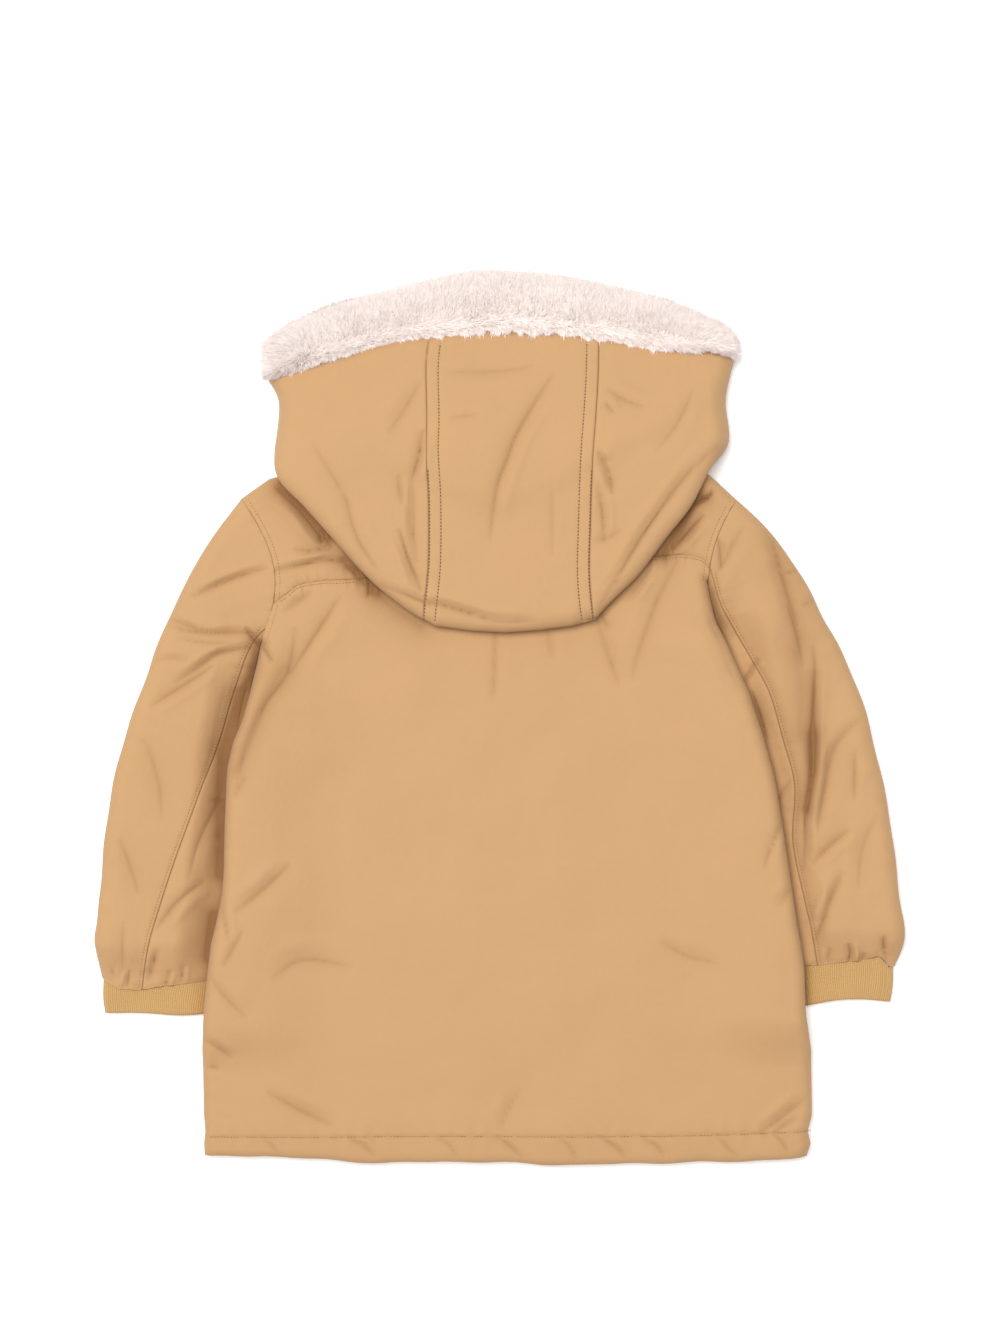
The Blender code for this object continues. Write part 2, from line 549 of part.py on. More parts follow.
def make_hood_centre(layers):
    """From the fur seam down the middle, round the lowest fold and back up to the neck seam."""
    left = smooth(HOOD["left"], 60)[:, 2:4]
    right = smooth(HOOD["right"], 60)[:, 2:4]
    cols = np.linspace(0, 1, 9)
    fold_x = HOOD_FOLD[0][0] + SEAM / 2 + (HOOD_FOLD[-1][0] - HOOD_FOLD[0][0] - SEAM) * cols
    fold_y = np.interp(fold_x, *zip(*HOOD_FOLD))
    grid, kinds = [], []
    fur_y = np.interp(fold_x, [r[0] for r in FUR_STRIP], [r[1] for r in FUR_STRIP]) - SEAM
    for t in np.concatenate((np.linspace(0, 0.93, 15), [0.962, 0.982, 0.994, 1])):
        y = fur_y + (fold_y - fur_y) * t
        x_left = np.interp(-y[0], -left[:, 1], left[:, 0]) + SEAM / 2
        x_right = np.interp(-y[-1], -right[:, 1], right[:, 0]) - SEAM / 2
        grid.append(np.column_stack((x_left + (x_right - x_left) * cols, y)))
        kinds.append(0 if t == 1 else 1)
    neck_y = table_y(BACK_TOP, fold_x) - 0.5
    for t in (0.012, 0.035, 0.07, 0.11, 0.4, 0.7, 1):
        y = fold_y + (neck_y - fold_y) * t
        x_left = np.interp(-y[0], -left[:, 1], left[:, 0]) + 0.9
        x_right = np.interp(-y[-1], -right[:, 1], right[:, 0]) - 0.9
        grid.append(np.column_stack((x_left + (x_right - x_left) * cols, y)))
        kinds.append(-1)
    wall("hood_centre", layers.faces(np.array(grid), np.array(kinds)[:, None]), SHELL_CLOTH)


def make_fur(layers):
    """The strip from the chin, along the floor, round both corners and over the top."""
    upper_x = np.concatenate((-FUR_CORNER + np.array(ROLL_STEPS), np.linspace(-127, 127, 19),
                              FUR_CORNER - np.array(ROLL_STEPS)[::-1]))
    under_x = np.concatenate((FUR_CORNER - np.array(ROLL_STEPS)[1:], np.linspace(127, 9, 7)))
    xs = np.concatenate((-under_x[::-1], upper_x, under_x))
    kind = np.concatenate((-np.ones(len(under_x)), np.ones(len(upper_x)), -np.ones(len(under_x))))
    kind[len(under_x)] = kind[len(under_x) + len(upper_x) - 1] = 0
    strip = np.array(FUR_STRIP)
    table_x = strip[:, 0] * FUR_CORNER / 149.5
    seam_y = np.interp(xs, table_x, strip[:, 1]) + SEAM
    edge_y = np.interp(xs, table_x, strip[:, 2])
    under_seam = np.maximum(under_strip_seam(xs), 0) + 1.2
    turn = ease(0, 26, FUR_CORNER - np.abs(xs))
    low_seam = seam_y + (under_seam - seam_y) * turn
    low_edge = edge_y + (under_seam + FUR_UNDER_WIDE - edge_y) * turn
    below = kind < 0
    seam_y, edge_y = np.where(below, low_seam, seam_y), np.where(below, low_edge, edge_y)
    outer, inner = [], []
    for share, pile, rise in FUR_PROFILE:
        y = seam_y + (edge_y - seam_y) * share
        plan = np.column_stack((xs, y))
        corner = np.clip(1 - (FUR_CORNER - np.abs(xs)) / 11, 0, 1)
        roll = np.sqrt(1 - corner ** 2)
        over_under = ease(80, 98, np.abs(xs))
        rest = hood_rest(plan) * ease(60, 82, np.abs(xs)) * below
        floor_gap = 0.3 + 10.4 * over_under + rise * 9 * (1 - over_under)
        pile_top = FUR_PILE * pile + 4.0 * over_under + 1.3 * np.sin(xs / 9.0 + share * 4)
        mid = rest + (FUR_UNDER + 0.5) * (kind <= 0) + (kind > 0) * (FUR_UNDER + 0.5)
        top = np.where(kind > 0, mid + (np.maximum(pile_top, floor_gap + 4) - mid) * roll, mid)
        high = np.where(below, mid - (mid - rest) * roll, top)
        near = np.clip((FUR_CORNER - np.abs(xs)) / 5, 0, 1)
        low = np.where(kind > 0, mid + (floor_gap - mid) * near, mid)
        low = np.where(below, mid - 0.5 * near, low)
        inset = np.clip(5 - (FUR_CORNER - np.abs(xs)), 0, None) * -np.sign(xs)
        outer.append(np.column_stack((xs, y, high)))
        inner.append(np.column_stack((xs + inset, y, low)))
    wall("fur_trim", (np.array(outer), np.array(inner)), FUR_PILE_CLOTH)


def main():
    for thing in list(bpy.data.objects):
        bpy.data.objects.remove(thing)
    body = body_layers()
    make_back(body)
    make_fronts(body)
    for side in ("left", "right"):
        make_sleeve(side)
        make_cuff(side)
    hood = hood_layers()
    make_hood_side("left", hood)
    make_hood_side("right", hood)
    make_hood_centre(hood)
    make_fur(hood)


main()
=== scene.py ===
# %% [markdown]
# # A toddler's fur trimmed parka, laid flat
# The coat lies on its front with the hood flopped onto the back. It is a padded coat: a fine cotton
# shell over wadding, sewn from a yoke, a back, two fronts, two-piece sleeves, rib-knit cuffs and a
# three-panel hood with a strip of pile fabric round its mouth.
#
# The lesson goes in the order a maker would work: measures, the way padded cloth is shaped, each
# panel, the sewing, the fur, the finishes, and last the light. Tables are in millimetres.

# %% The frame and its box
import json
import math

import bpy
import numpy as np
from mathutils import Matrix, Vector
from mathutils.kdtree import KDTree

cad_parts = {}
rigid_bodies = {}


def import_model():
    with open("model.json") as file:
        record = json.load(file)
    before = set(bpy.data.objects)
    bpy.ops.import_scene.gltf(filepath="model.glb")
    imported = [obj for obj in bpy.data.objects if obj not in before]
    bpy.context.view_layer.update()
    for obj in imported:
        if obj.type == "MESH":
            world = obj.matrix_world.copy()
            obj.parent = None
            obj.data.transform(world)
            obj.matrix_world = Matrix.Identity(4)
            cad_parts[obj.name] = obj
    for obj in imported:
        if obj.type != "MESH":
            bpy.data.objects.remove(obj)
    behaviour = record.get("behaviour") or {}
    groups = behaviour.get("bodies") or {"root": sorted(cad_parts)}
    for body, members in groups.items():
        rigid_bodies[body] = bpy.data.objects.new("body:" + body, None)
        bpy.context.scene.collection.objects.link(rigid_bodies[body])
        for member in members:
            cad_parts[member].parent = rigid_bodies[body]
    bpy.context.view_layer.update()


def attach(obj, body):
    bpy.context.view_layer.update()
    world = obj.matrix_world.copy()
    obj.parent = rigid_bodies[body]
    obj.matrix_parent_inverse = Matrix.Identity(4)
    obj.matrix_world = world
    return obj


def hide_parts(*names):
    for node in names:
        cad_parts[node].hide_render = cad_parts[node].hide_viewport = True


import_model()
MM = 0.001

# %% [markdown]
# ## Tables become curves
# A garment's outline is a soft curve through a few measured points. A Catmull-Rom curve passes
# through every point of its table, so the table stays short and each of its rows can be read as a
# place on the coat.

# %% Curves and distances
def smooth(rows, places):
    """Stations along a table's rows on a Catmull-Rom curve; places is a count, or shares of the way."""
    rows = np.array(rows, float)
    where = (np.linspace(0, 1, places) if np.isscalar(places) else np.asarray(places)) * (len(rows) - 1)
    first = np.minimum(where.astype(int), len(rows) - 2)
    t = (where - first)[:, None]
    a, b = rows[np.maximum(first - 1, 0)], rows[first]
    c, d = rows[first + 1], rows[np.minimum(first + 2, len(rows) - 1)]
    return b + 0.5 * t * (c - a + t * (2 * a - 5 * b + 4 * c - d + t * (3 * (b - c) + d - a)))


def ease(low, high, value):
    """0 below low, 1 above high, with a smooth step between."""
    t = np.clip((np.asarray(value, float) - low) / (high - low), 0, 1)
    return t * t * (3 - 2 * t)


def reach(plan, line):
    """Distance from each point to a line, direction to the line's left, side, and length along it."""
    plan = np.asarray(plan, float)
    line = np.asarray(line, float)
    best = np.full(plan.shape[:-1], 1e9)
    left = np.zeros(plan.shape)
    side = np.zeros(plan.shape[:-1])
    along = np.zeros(plan.shape[:-1])
    walked = 0.0
    for start, end in zip(line[:-1], line[1:]):
        run = end - start
        size = np.hypot(*run)
        share = np.clip(((plan - start) @ run) / size ** 2, 0, 1)
        away = np.linalg.norm(plan - start - share[..., None] * run, axis=-1)
        normal = np.array((-run[1], run[0])) / size
        nearer = away < best
        best = np.where(nearer, away, best)
        left = np.where(nearer[..., None], normal, left)
        side = np.where(nearer, (plan - start) @ normal, side)
        along = np.where(nearer, walked + share * size, along)
        walked += size
    return best, left, np.sign(side), along


def table_y(table, x):
    xs, ys = zip(*table)
    return np.interp(x, xs, ys)


def line_length(line):
    return float(np.linalg.norm(np.diff(np.asarray(line, float), axis=0), axis=1).sum())


print("the ease curve at a quarter, half and three quarters:", ease(0, 1, (0.25, 0.5, 0.75)))

# %% [markdown]
# ## The cut of the coat
# These are the outlines of the pieces as they lie. The side of the body runs from the armhole down to
# the hem, and it lies on the inner edge of each sleeve, which lifts it by the thickness of the sleeve.

# %% Outlines of the body
SIDES = ("left", "right")
SIGN = {"left": -1, "right": 1}     # of x on that side
SEAM = 0.3      # clear height between sewn layers
JOIN = 0.06     # gap between the edges of two sewn pieces
WALL_FRONT, WALL_BACK, BODY_SLIT = 8.5, 9.5, 2.0
SLEEVE_THICK, TUCK_THICK, BODY_LIFT, CUFF_THICK = 20.0, 8.4, 9.6, 9.0

# y, left edge x, right edge x of the body below the armholes
BODY = ((86, -141, 131), (60, -146, 136), (46, -151, 143), (15, -157.5, 157), (-2, -162, 162.5),
        (-16, -168, 167), (-32, -171.6, 171.5), (-43, -172.4, 174), (-68, -173.4, 178), (-98, -174, 182.5),
        (-112, -175.2, 184.6), (-131, -179, 187.3), (-143, -182, 189.6), (-159, -184, 191.8),
        (-187, -186.7, 192.6), (-211, -188, 196.6), (-252, -187.3, 197.3), (-262, -186.4, 194.6),
        (-270, -187.2, 196.4), (-284, -186.5, 192))
HEM = ((-190, -278.3), (-170, -277.4), (-148, -277.4), (-119, -279), (-97, -280.7), (-74, -281.9),
       (-37, -280.8), (0, -281.3), (25, -282.6), (51, -283.1), (84, -282), (114, -281.6), (153, -280.7),
       (185, -279), (197, -278.2))
YOKE = ((-142, 72), (-135, 77), (-127, 83), (-111, 85.7), (-91, 86.5), (0, 94), (100, 101), (114, 102.2),
        (127, 100), (134, 94))
BACK_TOP = ((-163.2, 137.8), (-146, 150), (-110, 160), (-72, 167), (0, 162.5), (72, 167), (110, 160),
            (132, 153), (149.2, 137.2))
FRONT_TOP = ((-163.2, 137.8), (-146, 150), (-110, 160), (-72, 167), (-34, 149), (0, 138), (34, 149),
             (72, 167), (110, 160), (132, 153), (149.2, 137.2))
# armholes: top x, top y, bottom x, bottom y, sideways bow of the curve
ARMHOLE = {"left": (-163.2, 137.8, -151.2, 46.0, 15.0), "right": (149.2, 137.2, 131.2, 85.0, -4.0)}


def armhole_x(side, y):
    top_x, top_y, low_x, low_y, bow = ARMHOLE[side]
    share = np.clip((top_y - np.asarray(y, float)) / (top_y - low_y), 0, 1)
    return top_x + (low_x - top_x) * share + bow * np.sin(np.pi * share)


def body_edge(side, y):
    """The body's side: its armhole, then its side seam."""
    y = np.asarray(y, float)
    rows = np.array(BODY)[::-1]
    below = np.interp(y, rows[:, 0], rows[:, 1 if side == "left" else 2])
    return np.where(y > ARMHOLE[side][3], armhole_x(side, y), below)


def side_seam(side):
    """The body's rolled side below the armhole, with the garment on its left."""
    low = ARMHOLE[side][3]
    ys = [low] + [row[0] for row in BODY if row[0] < low - 2]
    line = [(float(body_edge(side, y)), y) for y in ys]
    return line if side == "left" else line[::-1]


def armhole_line(side):
    ys = np.linspace(ARMHOLE[side][1], ARMHOLE[side][3], 24)
    return [(float(armhole_x(side, y)), y) for y in ys]


ARMHOLE_LINES = {side: armhole_line(side) for side in SIDES}
SIDE_SEAMS = {side: side_seam(side) for side in SIDES}
hem_wide = float(body_edge("right", -278) - body_edge("left", -278))
print(f"hem {hem_wide:.0f} mm wide, side seams {[round(line_length(s)) for s in SIDE_SEAMS.values()]} mm")

# %% [markdown]
# ## Folds, seams and puckers as relief
# Real creases in padded cotton are uneven: a soft valley, with a low ridge pushed up beside it. They
# could be simulated, but placed one by one they fall where the coat's own do. Each fold is a line with a
# half width, a depth, and the side on which its ridge stands. Seams pull the wadding down in a narrow
# groove, and the thread gathers small puckers square to it. Every helper gives two values for a point:
# how far the cloth sinks there, and how dark it is, because light hardly gets into a tight crease.

# %% Relief helpers
HIGHEST_RIDGE = 1.6
DARKEST_DEPTH = 4.2     # a crisp fold this deep gets almost no light
CUT_HALF = 0.42         # half width of the line that a thread cuts into the cloth
WAVES, WAVES_HIGH = 7, 2.6      # how many waves make a ripple, and how high they stand together


def relief_of(depth, dark=0.0):
    return np.stack((depth, depth * 0 + dark), -1)


def gentle(depth, most):
    """Keeps crossing folds from cutting deeper than the padding, without a hard limit."""
    return np.where(depth > 0, most * np.tanh(depth / most), np.maximum(depth, -HIGHEST_RIDGE))


def only_near(plan, line, margin, shape):
    """Works out shape(away, side, along) only for the points that a line can reach."""
    line = np.asarray(line, float)
    near = np.all((plan > line.min(0) - margin) & (plan < line.max(0) + margin), axis=-1)
    total = np.zeros(plan.shape)
    if near.any():
        away, _, side, along = reach(plan[near], line)
        total[near] = relief_of(*shape(away, side, along))
    return total


def valley(plan, line, half, deep, lean=0):
    """A fold: deepest on its line, shallow at both ends, with a ridge on its left (1) or right (-1)."""
    line = smooth(line, 4 * len(line) - 3) if len(line) > 2 else line
    size = line_length(line)

    def shape(away, side, along):
        ends = np.clip(np.minimum(along, size - along) / (0.35 * size), 0, 1)
        past = (along <= 0) | (along >= size)
        crisp = 0.64 * np.exp(-away / (0.27 * half)) * np.sqrt(ends)
        soft = 0.36 * np.exp(-(away / (1.1 * half)) ** 2) * (0.15 + 0.85 * np.sqrt(ends))
        ridge = 0.45 * np.exp(-((away - 1.2 * half) / (0.65 * half)) ** 2)
        ridge = ridge * (side * lean > 0) * ends * ~past
        shade = 0.3 * np.exp(-away / (0.55 * half)) * (side * lean <= 0)
        line_of_dark = 0.75 * np.exp(-away / (0.62 + 0.08 * half))
        dark = deep / DARKEST_DEPTH * (line_of_dark + shade) * np.sqrt(ends)
        return deep * (crisp + soft - ridge), dark

    return only_near(plan, line, 4 * half, shape)


def groove(plan, line, half, deep, cut=0.0, dark=0.0):
    """A seam or a row of stitching, pressed into the padding; cut is a narrow deeper line in it."""
    def shape(away, side, along):
        thread = np.exp(-(away / CUT_HALF) ** 2)
        return deep * np.exp(-(away / half) ** 2) + cut * thread, dark * thread

    return only_near(plan, line, 4 * half, shape)


def shadow(plan, line, spread, dark):
    """Cloth that lies tight under another layer's edge gets little light."""
    return only_near(plan, line, 5 * spread,
                     lambda away, side, along: (0 * away, dark * np.exp(-away / spread)))


def puckers(plan, line, spread, deep, pitch, phase=0.0):
    """Small gathers square to a seam, uneven in size."""
    def shape(away, side, along):
        beat = np.sin(2 * np.pi * along / pitch + phase + 0.7 * side)
        beat = beat * np.sin(along / (2.3 * pitch) + 2 * phase)
        return deep * (0.5 + 0.5 * beat) * np.exp(-(away / spread) ** 2), 0.0

    return only_near(plan, line, 3 * spread, shape)


def sewn(plan, line, pressed, gathered):
    """A seam: the groove that it presses into the wadding, and the puckers of its thread."""
    return groove(plan, line, *pressed) + puckers(plan, line, *gathered)


def ripple(plan, wave, deep, seed):
    """Gentle unevenness of the wadding: a few seeded waves in turned directions."""
    dice = np.random.default_rng(seed)
    x, y = plan[..., 0], plan[..., 1]
    turns, stretches, shifts = (dice.uniform(*span, WAVES) for span in ((0, np.pi), (0.7, 1.5), (0, 7)))
    total = np.zeros(x.shape)
    for turn, stretch, shift in zip(turns, stretches, shifts):
        across = x * np.cos(turn) + y * np.sin(turn)
        bend = 0.35 * wave * np.sin((y * np.cos(turn) - x * np.sin(turn)) / wave + shift)
        total += np.sin(2 * np.pi * (across + bend) / (wave * stretch) + shift)
    return relief_of(deep * total / WAVES_HIGH)


def wadding(plan, seed, *waves):
    """Ripples of several sizes at once, each a wave length and a depth."""
    return sum(ripple(plan, wave, deep, seed + k) for k, (wave, deep) in enumerate(waves))


print("a fold 3 mm deep, on its line and 4 mm beside it:",
      [round(float(valley(np.array((x, 0.0)), ((0, -20), (0, 20)), 4.0, 3.0)[0]), 2) for x in (0.0, 4.0)])

# %% [markdown]
# ### The folds of the back, the sleeves and the hood
# Each row is one fold: half width, depth, ridge side, then the points of its line.

# %% Tables of folds
BODY_FOLDS = (
    (5.5, 0.5, 1, (-2.5, 56), (-3.5, 30), (-5, 6)),
    (8.0, 2.6, -1, (-129, 56), (-133.4, 29), (-147, 9), (-157, -13), (-166, -40)),
    (7.0, 2.4, 1, (-100, 76), (-112.4, 56.5), (-125, 37.5), (-133, 26)),
    (8.0, 2.2, -1, (112, 99), (97, 69), (87, 42), (82, 22)),
    (6.0, 1.9, 1, (62, 60), (68, 40), (76, 18)),
    (5.5, 1.3, 1, (30, 56), (34, 36)),
    (4.5, 1.6, -1, (-160, -38), (-168, -52)),
    (6.0, 2.5, -1, (-131, -92), (-148, -108), (-167, -123)),
    (4.0, 2.0, 1, (-176, -116), (-169.5, -141)),
    (4.0, 1.7, -1, (-161, -134), (-174, -158)),
    (8.5, 1.9, 1, (-144, -166), (-124, -153), (-92, -158)),
    (7.0, 1.5, 1, (101, -141), (118, -151), (138, -155)),
    (6.0, 2.1, 1, (-147, -236), (-126, -248), (-104, -258)),
    (4.0, 2.2, 1, (-187, -202), (-176, -209), (-168, -216)),
    (4.0, 1.8, -1, (-185, -221), (-176, -222)),
    (5.0, 2.4, -1, (193, -240), (178, -252), (164, -263)),
    (3.5, 1.5, -1, (188, -252), (172, -263)),
    (5.5, 1.3, -1, (12, -234), (4, -250), (-1, -262)),
    (4.5, 1.6, 1, (-184, -160), (-172, -176), (-158, -190)),
    (5.0, 1.5, -1, (186, -104), (174, -120)),
    (5.0, 1.8, 1, (182, -60), (172, -78), (166, -96)),
    (7.0, 1.6, -1, (128, 70), (140, 40), (150, 12)),
    (6.0, 4.6, -1, (-142, 144), (-127.5, 132), (-114.5, 116), (-106, 106)),
    (2.6, 4.0, 1, (-112.5, 118), (-112.5, 109)),
    (3.4, 2.6, 1, (-146, 91), (-126, 95), (-110, 98.5), (-94, 97)),
    (3.0, 1.8, -1, (-130, 105), (-118, 104), (-108, 108)),
    (3.0, 3.4, 1, (-98, 95), (-90, 90), (-85, 82)),
    (2.4, 2.0, -1, (-88, 96), (-84, 88), (-80, 80)),
    (3.0, 2.0, 1, (-80, 86), (-84, 74)),
    (4.0, 2.0, 1, (-137, 66), (-129, 71), (-118, 79)),
    (2.6, 2.8, 1, (121, 133.5), (131, 137.5), (135, 143.5)),
    (4.0, 3.6, 1, (129, 127), (120, 117), (109, 104)),
    (3.5, 2.0, 1, (96, 94), (86, 80), (78, 72)),
    (2.4, 3.4, 0, (-153, 48), (-148, 41), (-143, 34)),
    (2.6, 1.5, 1, (-96, -265), (-86, -270), (-78, -278)),
    (2.2, 1.2, -1, (-40, -265), (-32, -270), (-26, -279)),
    (2.6, 1.7, 1, (-3, -264), (6, -270), (15, -279)),
    (2.2, 1.3, -1, (36, -265), (44, -271), (49, -280)),
    (2.6, 1.8, 1, (62, -265), (72, -270), (80, -279)),
    (2.4, 1.5, 1, (90, -265), (99, -271), (104, -279)),
    (2.2, 1.2, -1, (136, -264), (142, -270), (150, -278)),
    (2.2, 1.1, 1, (-150, -265), (-143, -271), (-139, -277)),
    (2.4, 1.3, 1, (172, -262), (178, -268), (182, -276)),
)
# the box pleat below the hood
PLEAT = ((-2.5, 54), (-3, 34), (-4, 14))
# places where the cloth is tucked under another layer, drawn with painted shade: spread, darkness, then the
# line
TUCKS = (
    (5.5, 1.4, (-138, 146), (-125, 135), (-116, 125), (-108.5, 114)),
    (4.2, 1.3, (-98, 99), (-87, 89), (-79, 80)),
    (4.0, 1.4, (127, 138), (121, 133), (113.5, 118), (103, 101)),
    (2.0, 0.5, (63, 66), (67, 58)),
    (6.0, 0.55, (-78, 78), (-64, 66), (-50, 57)),
    (6.0, 0.4, (-137, 30), (-149, 9), (-158, -12), (-166, -34)),
)
# painted shade on the sleeves, with the same columns as TUCKS: along the body's edge, in deep valleys, and
# two broad soft bands on the right sleeve
SLEEVE_TUCKS = (
    (4.0, 1.3, (-164, 14), (-170, -4), (-173, -18)),
    (4.5, 1.1, (-175.5, -24), (-177, -48), (-177, -74)),
    (3.5, 1.1, (-176.5, -86), (-178, -100)),
    (3.5, 1.1, (-182, -126), (-184.5, -152)),
    (3.0, 1.3, (132.5, 78), (135, 66), (140, 54)),
    (3.0, 1.3, (154, 12), (159, -1), (164, -17)),
    (4.0, 1.0, (196.5, -12), (196, -34), (193, -58)),
    (3.5, 1.2, (-151, 43), (-156, 30), (-160, 12)),
    (8.0, 0.35, (168, 112), (180, 84), (188, 50)),
    (8.0, 0.35, (186, 40), (190, 14), (188, -12)),
)
SLEEVE_FOLDS = (
    (3.2, 3.0, 1, (-196, 75), (-168, 87), (-146, 94)),
    (4.0, 2.6, 1, (-210, 58), (-196, 54), (-180, 52.5), (-159, 53), (-151, 50)),
    (3.2, 1.4, -1, (-203, 49), (-186, 46), (-168, 47)),
    (3.8, 3.1, -1, (-153, 44), (-176, 40), (-190, 31), (-205, 21)),
    (3.2, 1.6, 1, (-214, 62), (-204, 60), (-190, 55)),
    (4.5, 2.4, 1, (-180, 32), (-198, 20), (-220, 6)),
    (3.0, 1.3, 1, (-221, 34), (-208, 37), (-196, 35)),
    (5.0, 2.8, 1, (-186, -104), (-203, -117), (-217, -135)),
    (3.6, 2.6, -1, (-216, -146), (-219, -157), (-223, -168)),
    (6.0, 1.7, -1, (-240, -77), (-233, -96), (-228, -113)),
    (5.0, 1.1, 1, (-237, -129), (-238, -163)),
    (2.6, 2.2, 1, (-208, -160), (-212, -172)),
    (2.4, 1.8, -1, (-234, -160), (-236, -172)),
    (2.4, 1.7, 1, (-200, -157), (-201, -169)),
    (2.4, 1.6, 1, (-244, -157), (-246, -168)),
    (7.5, 0.9, 0, (-172, 22), (-180, -10), (-186, -40)),
    (6.0, 1.6, 1, (-176, -50), (-190, -80), (-196, -104)),
    (8.0, 1.6, -1, (-224, -14), (-215, -44), (-214, -66)),
    (4.5, 3.8, 1, (197, 45), (199, 27), (197, -4), (197, -36), (192.5, -62), (192, -83), (190.5, -99)),
    (7.5, 2.2, 0, (198, 30), (198, -40)),
    (6.0, 1.5, 1, (154, 120), (144, 102), (136, 88)),
    (6.5, 2.2, -1, (170, 118), (178, 86), (187, 56)),
    (6.5, 1.8, 1, (181, 72), (188, 48), (191, 30)),
    (5.0, 2.4, -1, (228, 0), (211, -19), (205, -45), (200, -72)),
    (4.0, 1.7, 1, (224, -22), (223.5, -54)),
    (4.5, 2.6, 1, (221, -71), (208, -82), (196, -94)),
    (4.5, 3.2, -1, (216, -97), (207, -118), (198, -143)),
    (4.0, 1.7, 1, (190, 92), (180, 90)),
    (4.0, 1.6, -1, (200, 74), (190, 70)),
    (3.0, 3.4, 1, (220, -143), (221.5, -150), (220, -158)),
    (3.0, 2.4, -1, (230, -149), (229, -158)),
    (3.2, 3.6, 1, (242, -138), (242.5, -146), (244.5, -155)),
    (2.8, 1.6, -1, (208, -146), (207, -157)),
    (4.5, 2.2, 1, (136, 116), (139, 104), (140, 92)),
    (6.0, 1.5, -1, (238, -60), (228, -84), (226, -110)),
    (3.0, 2.8, 1, (132.6, 82), (136, 66), (141, 54)),
    (2.6, 2.4, -1, (152, 19), (158, 28), (163.5, 37)),
    (3.5, 2.6, 0, (159, 16), (165, 0), (169, -16)),
    (3.0, 1.6, 1, (172, -60), (178, -48), (184, -40)),
    (2.6, 3.0, -1, (-147, 41), (-154, 47), (-161, 56)),
    (3.2, 2.0, 1, (-158, 24), (-163, 8), (-166, -8)),
    (2.8, 1.8, -1, (-166, -66), (-174, -56), (-184, -52)),
)
HOOD_FOLDS = (
    (6.0, 2.7, 1, (35, 217), (23.5, 199), (11, 177), (4.5, 160), (-2, 141), (-6, 110)),
    (5.0, 1.2, -1, (-34, 216), (2, 217), (24, 221)),
    (4.5, 1.0, 1, (-32, 187), (-13, 190)),
    (4.0, 0.9, 1, (33, 143), (33, 100)),
    (4.2, 2.8, 1, (-77, 83), (-48, 72), (-38, 70.5), (-21, 65.5), (-2, 60.5), (24, 60)),
    (6.5, 1.7, -1, (-49, 212), (-58, 196), (-70, 177)),
    (4.5, 3.4, 1, (-48, 180), (-50.5, 163), (-55.5, 146)),
    (3.4, 1.9, 1, (-63.5, 151), (-61.5, 132)),
    (4.2, 2.6, -1, (-55, 148), (-55, 122), (-53, 95)),
    (4.6, 2.8, -1, (-64, 118), (-57, 98), (-48.5, 77)),
    (6.5, 1.7, 1, (-97, 140), (-89, 112), (-74, 88)),
    (6.5, 1.2, 1, (-118, 172), (-104, 150), (-92, 128)),
    (4.0, 2.8, -1, (63, 161), (68, 152), (70.5, 139)),
    (3.4, 2.0, 1, (61, 166), (67, 158)),
    (4.2, 2.2, 1, (61, 146), (64, 130), (65.5, 108)),
    (5.5, 1.6, 1, (67, 206), (78, 199), (92, 194)),
    (3.5, 1.6, 1, (66, 197), (72, 190)),
    (5.5, 1.4, 1, (57, 110), (68, 112), (76, 117)),
    (5.0, 2.5, -1, (138, 172), (116, 150), (91, 116), (74, 88), (62, 68)),
    (6.0, 1.2, 1, (122, 206), (112, 184), (98, 166)),
)


def folds(plan, table):
    total = np.zeros(plan.shape)
    for half, deep, lean, *line in table:
        total += valley(plan, line, half, deep, lean)
    return total


def tucks(plan, table):
    total = np.zeros(plan.shape)
    for spread, dark, *line in table:
        total += shadow(plan, line, spread, dark)
    return total


print("folds on body, sleeves and hood:", [len(table) for table in (BODY_FOLDS, SLEEVE_FOLDS, HOOD_FOLDS)])

# %% [markdown]
# ## Padded layers
# Where two padded walls lie on each other and join round an edge, the section is a flattened roll: a
# quarter ellipse above and below the fold. One class gives any point of such a pair its height, so
# every panel cut from the same tube meets its neighbours exactly.

